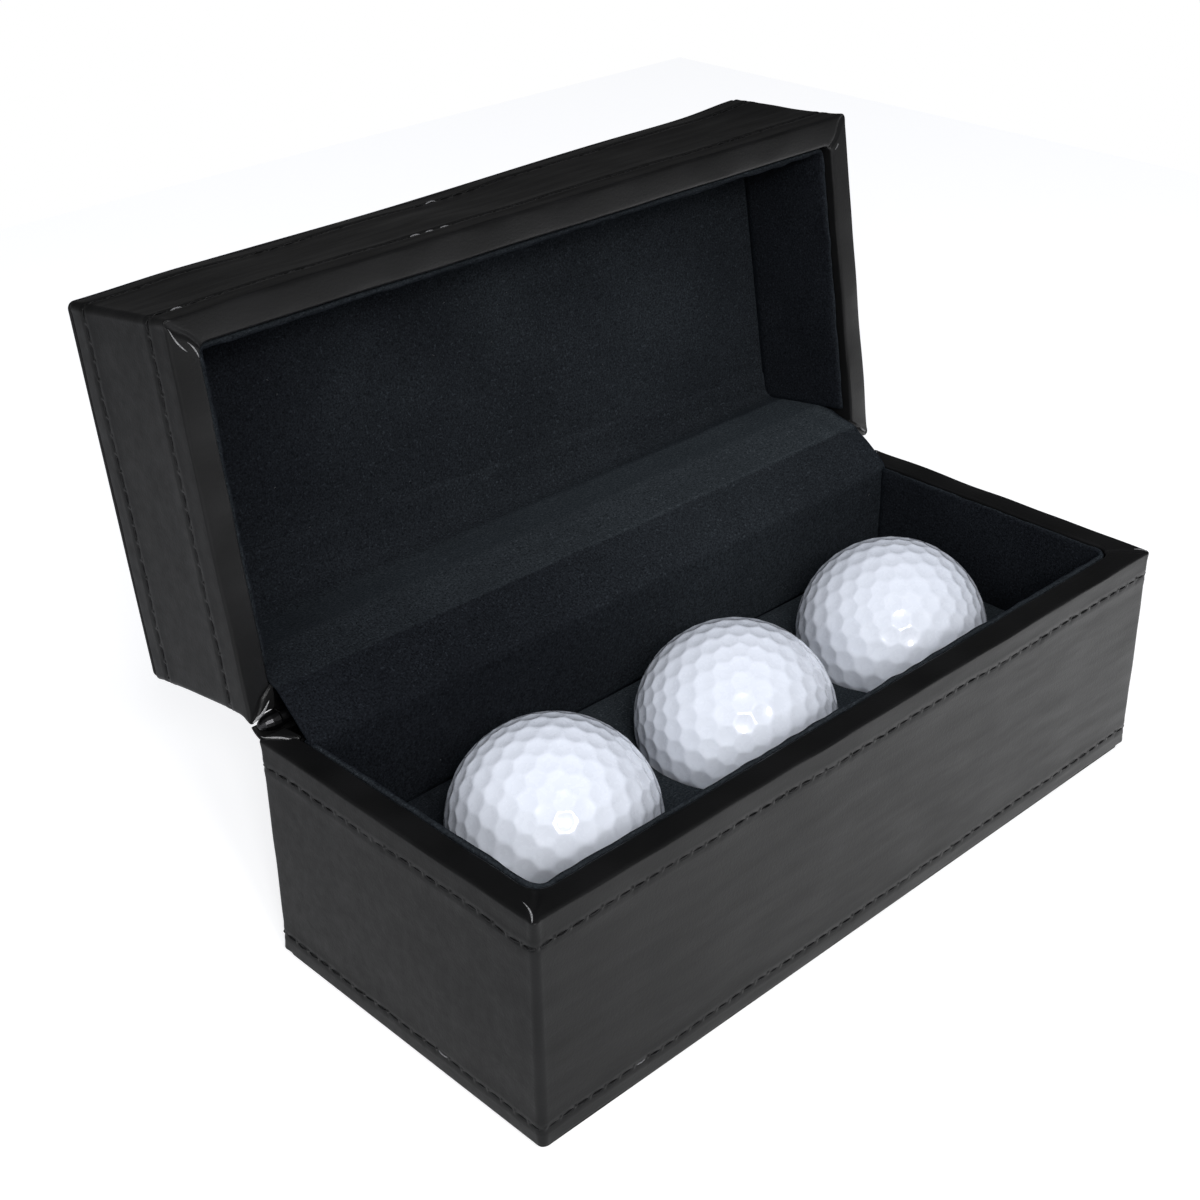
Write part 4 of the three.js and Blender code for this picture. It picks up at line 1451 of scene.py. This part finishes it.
def dimple_centres():
    """Directions of the dimples: each face of an icosahedron is divided in rows, so they pack closely."""
    points, faces = icosphere(1)
    found = {}
    for a, b, c in (points[face] for face in faces):
        for i in range(DIMPLE_ROWS + 1):
            for j in range(DIMPLE_ROWS + 1 - i):
                k = DIMPLE_ROWS - i - j
                place = a * i + b * j + c * k
                place = place / np.linalg.norm(place)
                found[tuple(np.round(place, 5))] = place
    return np.array(list(found.values()))


def dimpled_ball():
    """A ball's points and faces about its middle, with shallow round bowls that all but touch."""
    unit, faces = icosphere(BALL_DETAIL)
    unit /= np.linalg.norm(unit, axis=1)[:, None]
    centres = dimple_centres()
    nearest = np.arccos(np.clip((unit @ centres.T).max(axis=1), -1, 1))
    spacing = math.sqrt(4 * math.pi / len(centres) / (math.sqrt(3) / 2))
    inside = 1 - (nearest / (spacing * DIMPLE_REACH)) ** 2
    bowl = (inside + np.sqrt(inside ** 2 + DIMPLE_SOFTNESS)) / 2
    return unit * (BALL_RADIUS - DIMPLE_DEPTH * bowl)[:, None], faces


def golf_balls():
    """The three balls, each turned its own way."""
    points, faces = dimpled_ball()
    for number, angles in enumerate(BALL_TURNS_DEG, start=1):
        turn = Matrix.Identity(3)
        for angle, axis in zip(angles, "XYZ"):
            turn = turn @ Matrix.Rotation(math.radians(angle), 3, axis)
        placed = points @ np.array(turn).T + np.array(ball_centre(number))
        made = add_mesh(f"dimpled_ball_{number}", placed, faces, BALL_LOOK)
        hand_over(made, "ball", f"ball_{number}", f"golf_ball_{number}")


# Nodes that keep their own solids

def dress_nodes():
    """Gives each node's own solid the look of its material slot."""
    looks = {"board": BOARD_LOOK, "steel": STEEL_LOOK, "velvet": VELVET_LOOK, "leather": LEATHER_LOOK,
             "foam": FOAM_LOOK, "sheet": SHEET_LOOK, "ball": BALL_LOOK}
    for part in frame["record"]["subparts"]:
        node = frame["nodes"][part["node"]]
        node.data.materials.clear()
        node.data.materials.append(looks[part["material_slot"]])


# Lint

# A fibre's least and greatest length in millimetres, its bend as a share of that, its radii along its
# length, and how far it is lifted off the velvet
LINT_LENGTHS = (0.25, 0.6)
LINT_BEND = 0.4
LINT_RADII = np.array([0.4, 0.8, 1.0, 0.8, 0.4]) * 0.045 * MM
LINT_LIFT = 0.05 * MM


def lint(half, name, under, count, spread, towards, seed):
    """Short pale fibres that lie on the velvet: spread gives a random middle and two directions there."""
    rng = np.random.default_rng(seed)
    tree = surface_of(under)
    towards = half_normals(half, np.array(towards, float))
    paths = []
    for _ in range(count):
        middle, first, second = spread(rng)
        angle = rng.uniform(0, math.pi)
        length = rng.uniform(*LINT_LENGTHS) * MM
        bend = rng.uniform(-LINT_BEND, LINT_BEND) * length
        t = np.linspace(-1, 1, 5)[:, None]
        along = math.cos(angle) * first + math.sin(angle) * second
        across = -math.sin(angle) * first + math.cos(angle) * second
        path = half.place(middle + along * t * length / 2 + across * bend * (1 - t ** 2))
        paths.append(laid_on(tree, path, towards, LINT_LIFT))
    normals = np.broadcast_to(-towards, (count, 5, 3))
    made = add_tubes(name, np.array(paths), normals, LINT_RADII, 4, LINT_LOOK)
    hand_over(made, "velvet", half.name)


def ceiling_place(rng):
    """A random place on the lid's ceiling, and two directions along it."""
    z = shut_box("lid_ceiling_liner")[0][2]
    x = rng.uniform(-ROOM_X, ROOM_X) * 0.95
    place = np.array([x, rng.uniform(ROOM_FRONT_Y * 0.9, 18 * MM), z])
    return place, np.array([1.0, 0.0, 0.0]), np.array([0.0, 1.0, 0.0])


def back_wall_place(rng):
    """A random place on the back wall, and two directions along it."""
    place = np.array([rng.uniform(-ROOM_X, ROOM_X) * 0.95, ROOM_REAR_Y, rng.uniform(30, 48) * MM])
    return place, np.array([1.0, 0.0, 0.0]), np.array([0.0, 0.0, 1.0])


# Studio

SCENE_CENTRE = Vector((0.0, 0.02, 0.05))
FLOOR_HALF = 0.5
FLOOR_TONE = 0.62
FLOOR_GLOW = 0.63
AMBIENT = 0.42
AMBIENT_COLOUR = (0.94, 0.97, 1.06)

# In reflections the floor glows more towards the right, over these x, and the room is dim above the horizon
FLOOR_GLOW_ACROSS = (-0.11, 0.12)
FLOOR_GLOW_IN_GLOSS = (0.04, 1.25)
WORLD_DIM_FROM = 0.30
WORLD_IN_GLOSS = (0.17, 0.03)

# Each lamp's azimuth and elevation in degrees, its sides in metres, its watts and whether it shows in
# reflections
LAMP_DISTANCE = 0.80
LAMPS = {
    "top_light": (350, 60, (0.50, 0.40), 1.5, False),
    "side_light": (296, 27, (0.50, 0.40), 1.9, False),
    "left_window": (324, 34, (0.08, 0.12), 1.35, True),
    "right_window": (335, 32, (0.08, 0.12), 1.35, True),
}


def studio_floor():
    """A pale floor that keeps the box's shadow. It glows a little, so that the rest of it is white."""
    mesh = bpy.data.meshes.new("studio_floor")
    work = bmesh.new()
    bmesh.ops.create_grid(work, x_segments=1, y_segments=1, size=FLOOR_HALF)
    work.to_mesh(mesh)
    work.free()
    floor = bpy.data.objects.new("studio_floor", mesh)
    bpy.context.scene.collection.objects.link(floor)
    look = Look("pale floor", base_color=(FLOOR_TONE,) * 3, roughness=0.8, specular_level=0.0)
    camera_ray, shiny = look.rays()
    in_gloss = look.ranged(look.split(look.place)["X"], *FLOOR_GLOW_ACROSS, *FLOOR_GLOW_IN_GLOSS)
    seen = look.maths("MULTIPLY", camera_ray, FLOOR_GLOW)
    strength = look.maths("ADD", seen, look.maths("MULTIPLY", shiny, in_gloss))
    both = look.node("ShaderNodeAddShader")
    look.join(look.shader.outputs["BSDF"], both.inputs[0])
    look.join(look.node("ShaderNodeEmission", None, Strength=strength).outputs["Emission"], both.inputs[1])
    look.join(both.outputs["Shader"], look.tree.nodes["Material Output"].inputs["Surface"])
    mesh.materials.append(look.material)


def studio_world():
    """White to the camera, a dim room in reflections, and a soft plain light on everything else."""
    world = bpy.data.worlds.new("studio")
    world.use_nodes = True
    bpy.context.scene.world = world
    nodes = Nodes(world.node_tree)
    camera_ray, shiny = nodes.rays()
    height = nodes.split(nodes.node("ShaderNodeTexCoord").outputs["Generated"])["Z"]
    room = nodes.ranged(height, 0.0, WORLD_DIM_FROM, *WORLD_IN_GLOSS, "SMOOTHSTEP")
    direct = nodes.maths("MAXIMUM", camera_ray, nodes.maths("MULTIPLY", shiny, room))
    plain = nodes.maths("SUBTRACT", 1.0, nodes.maths("MAXIMUM", camera_ray, shiny))
    background = nodes.tree.nodes["Background"].inputs
    nodes.join(nodes.maths("ADD", direct, nodes.maths("MULTIPLY", plain, AMBIENT)), background["Strength"])
    nodes.join(nodes.mixed(plain, (1.0, 1.0, 1.0), AMBIENT_COLOUR), background["Color"])


def lamp(name, azimuth, elevation, size, energy, in_gloss):
    """An oblong lamp that looks at the box. Azimuth 0 is before the front and 90 past the right-hand end."""
    a = math.radians(azimuth)
    e = math.radians(elevation)
    back = Vector((math.sin(a) * math.cos(e), -math.cos(a) * math.cos(e), math.sin(e)))
    data = bpy.data.lights.new(name, "AREA")
    data.shape = "RECTANGLE"
    data.size, data.size_y = size
    data.energy = energy
    made = bpy.data.objects.new(name, data)
    made.visible_glossy = in_gloss
    made.location = SCENE_CENTRE + back * LAMP_DISTANCE
    made.rotation_mode = "QUATERNION"
    made.rotation_quaternion = (-back).to_track_quat("-Z", "Y")
    bpy.context.scene.collection.objects.link(made)


def camera():
    """The camera that took the reference view."""
    data = bpy.data.cameras.new("camera")
    data.lens = CAMERA_LENS
    data.sensor_width = SENSOR_WIDTH
    data.clip_start = 0.01
    made = bpy.data.objects.new("camera", data)
    made.location = CAMERA_PLACE
    made.rotation_euler = [math.radians(angle) for angle in CAMERA_TURN_DEG]
    bpy.context.scene.collection.objects.link(made)
    bpy.context.scene.camera = made


def build():
    """Camera, studio and every piece."""
    camera()
    studio_floor()
    studio_world()
    for name, settings in LAMPS.items():
        lamp(name, *settings)
    bpy.context.scene.view_settings.view_transform = "Standard"
    dress_nodes()
    leathers = {}
    for half in (BASE, LID):
        leathers[half.name] = leather_wrap(half)
        wall_cards(half)
        stitches(half, half.rows[0], "rim")
        stitches(half, half.rows[1], "far")
    for half in (BASE, LID):
        raw_edges(half, leathers[half.name])
    lid_top_panel()
    base_bottom_sheet()
    ceiling = lid_ceiling()
    cloth = hinge_velvet()
    hinge_gutter()
    bow_springs()
    tray()
    golf_balls()
    lint(LID, "lid_lint", ceiling, 20, ceiling_place, (0.0, 0.0, 1.0), 81)
    lint(BASE, "base_lint", cloth, 9, back_wall_place, (0.0, 1.0, 0.0), 82)


build()
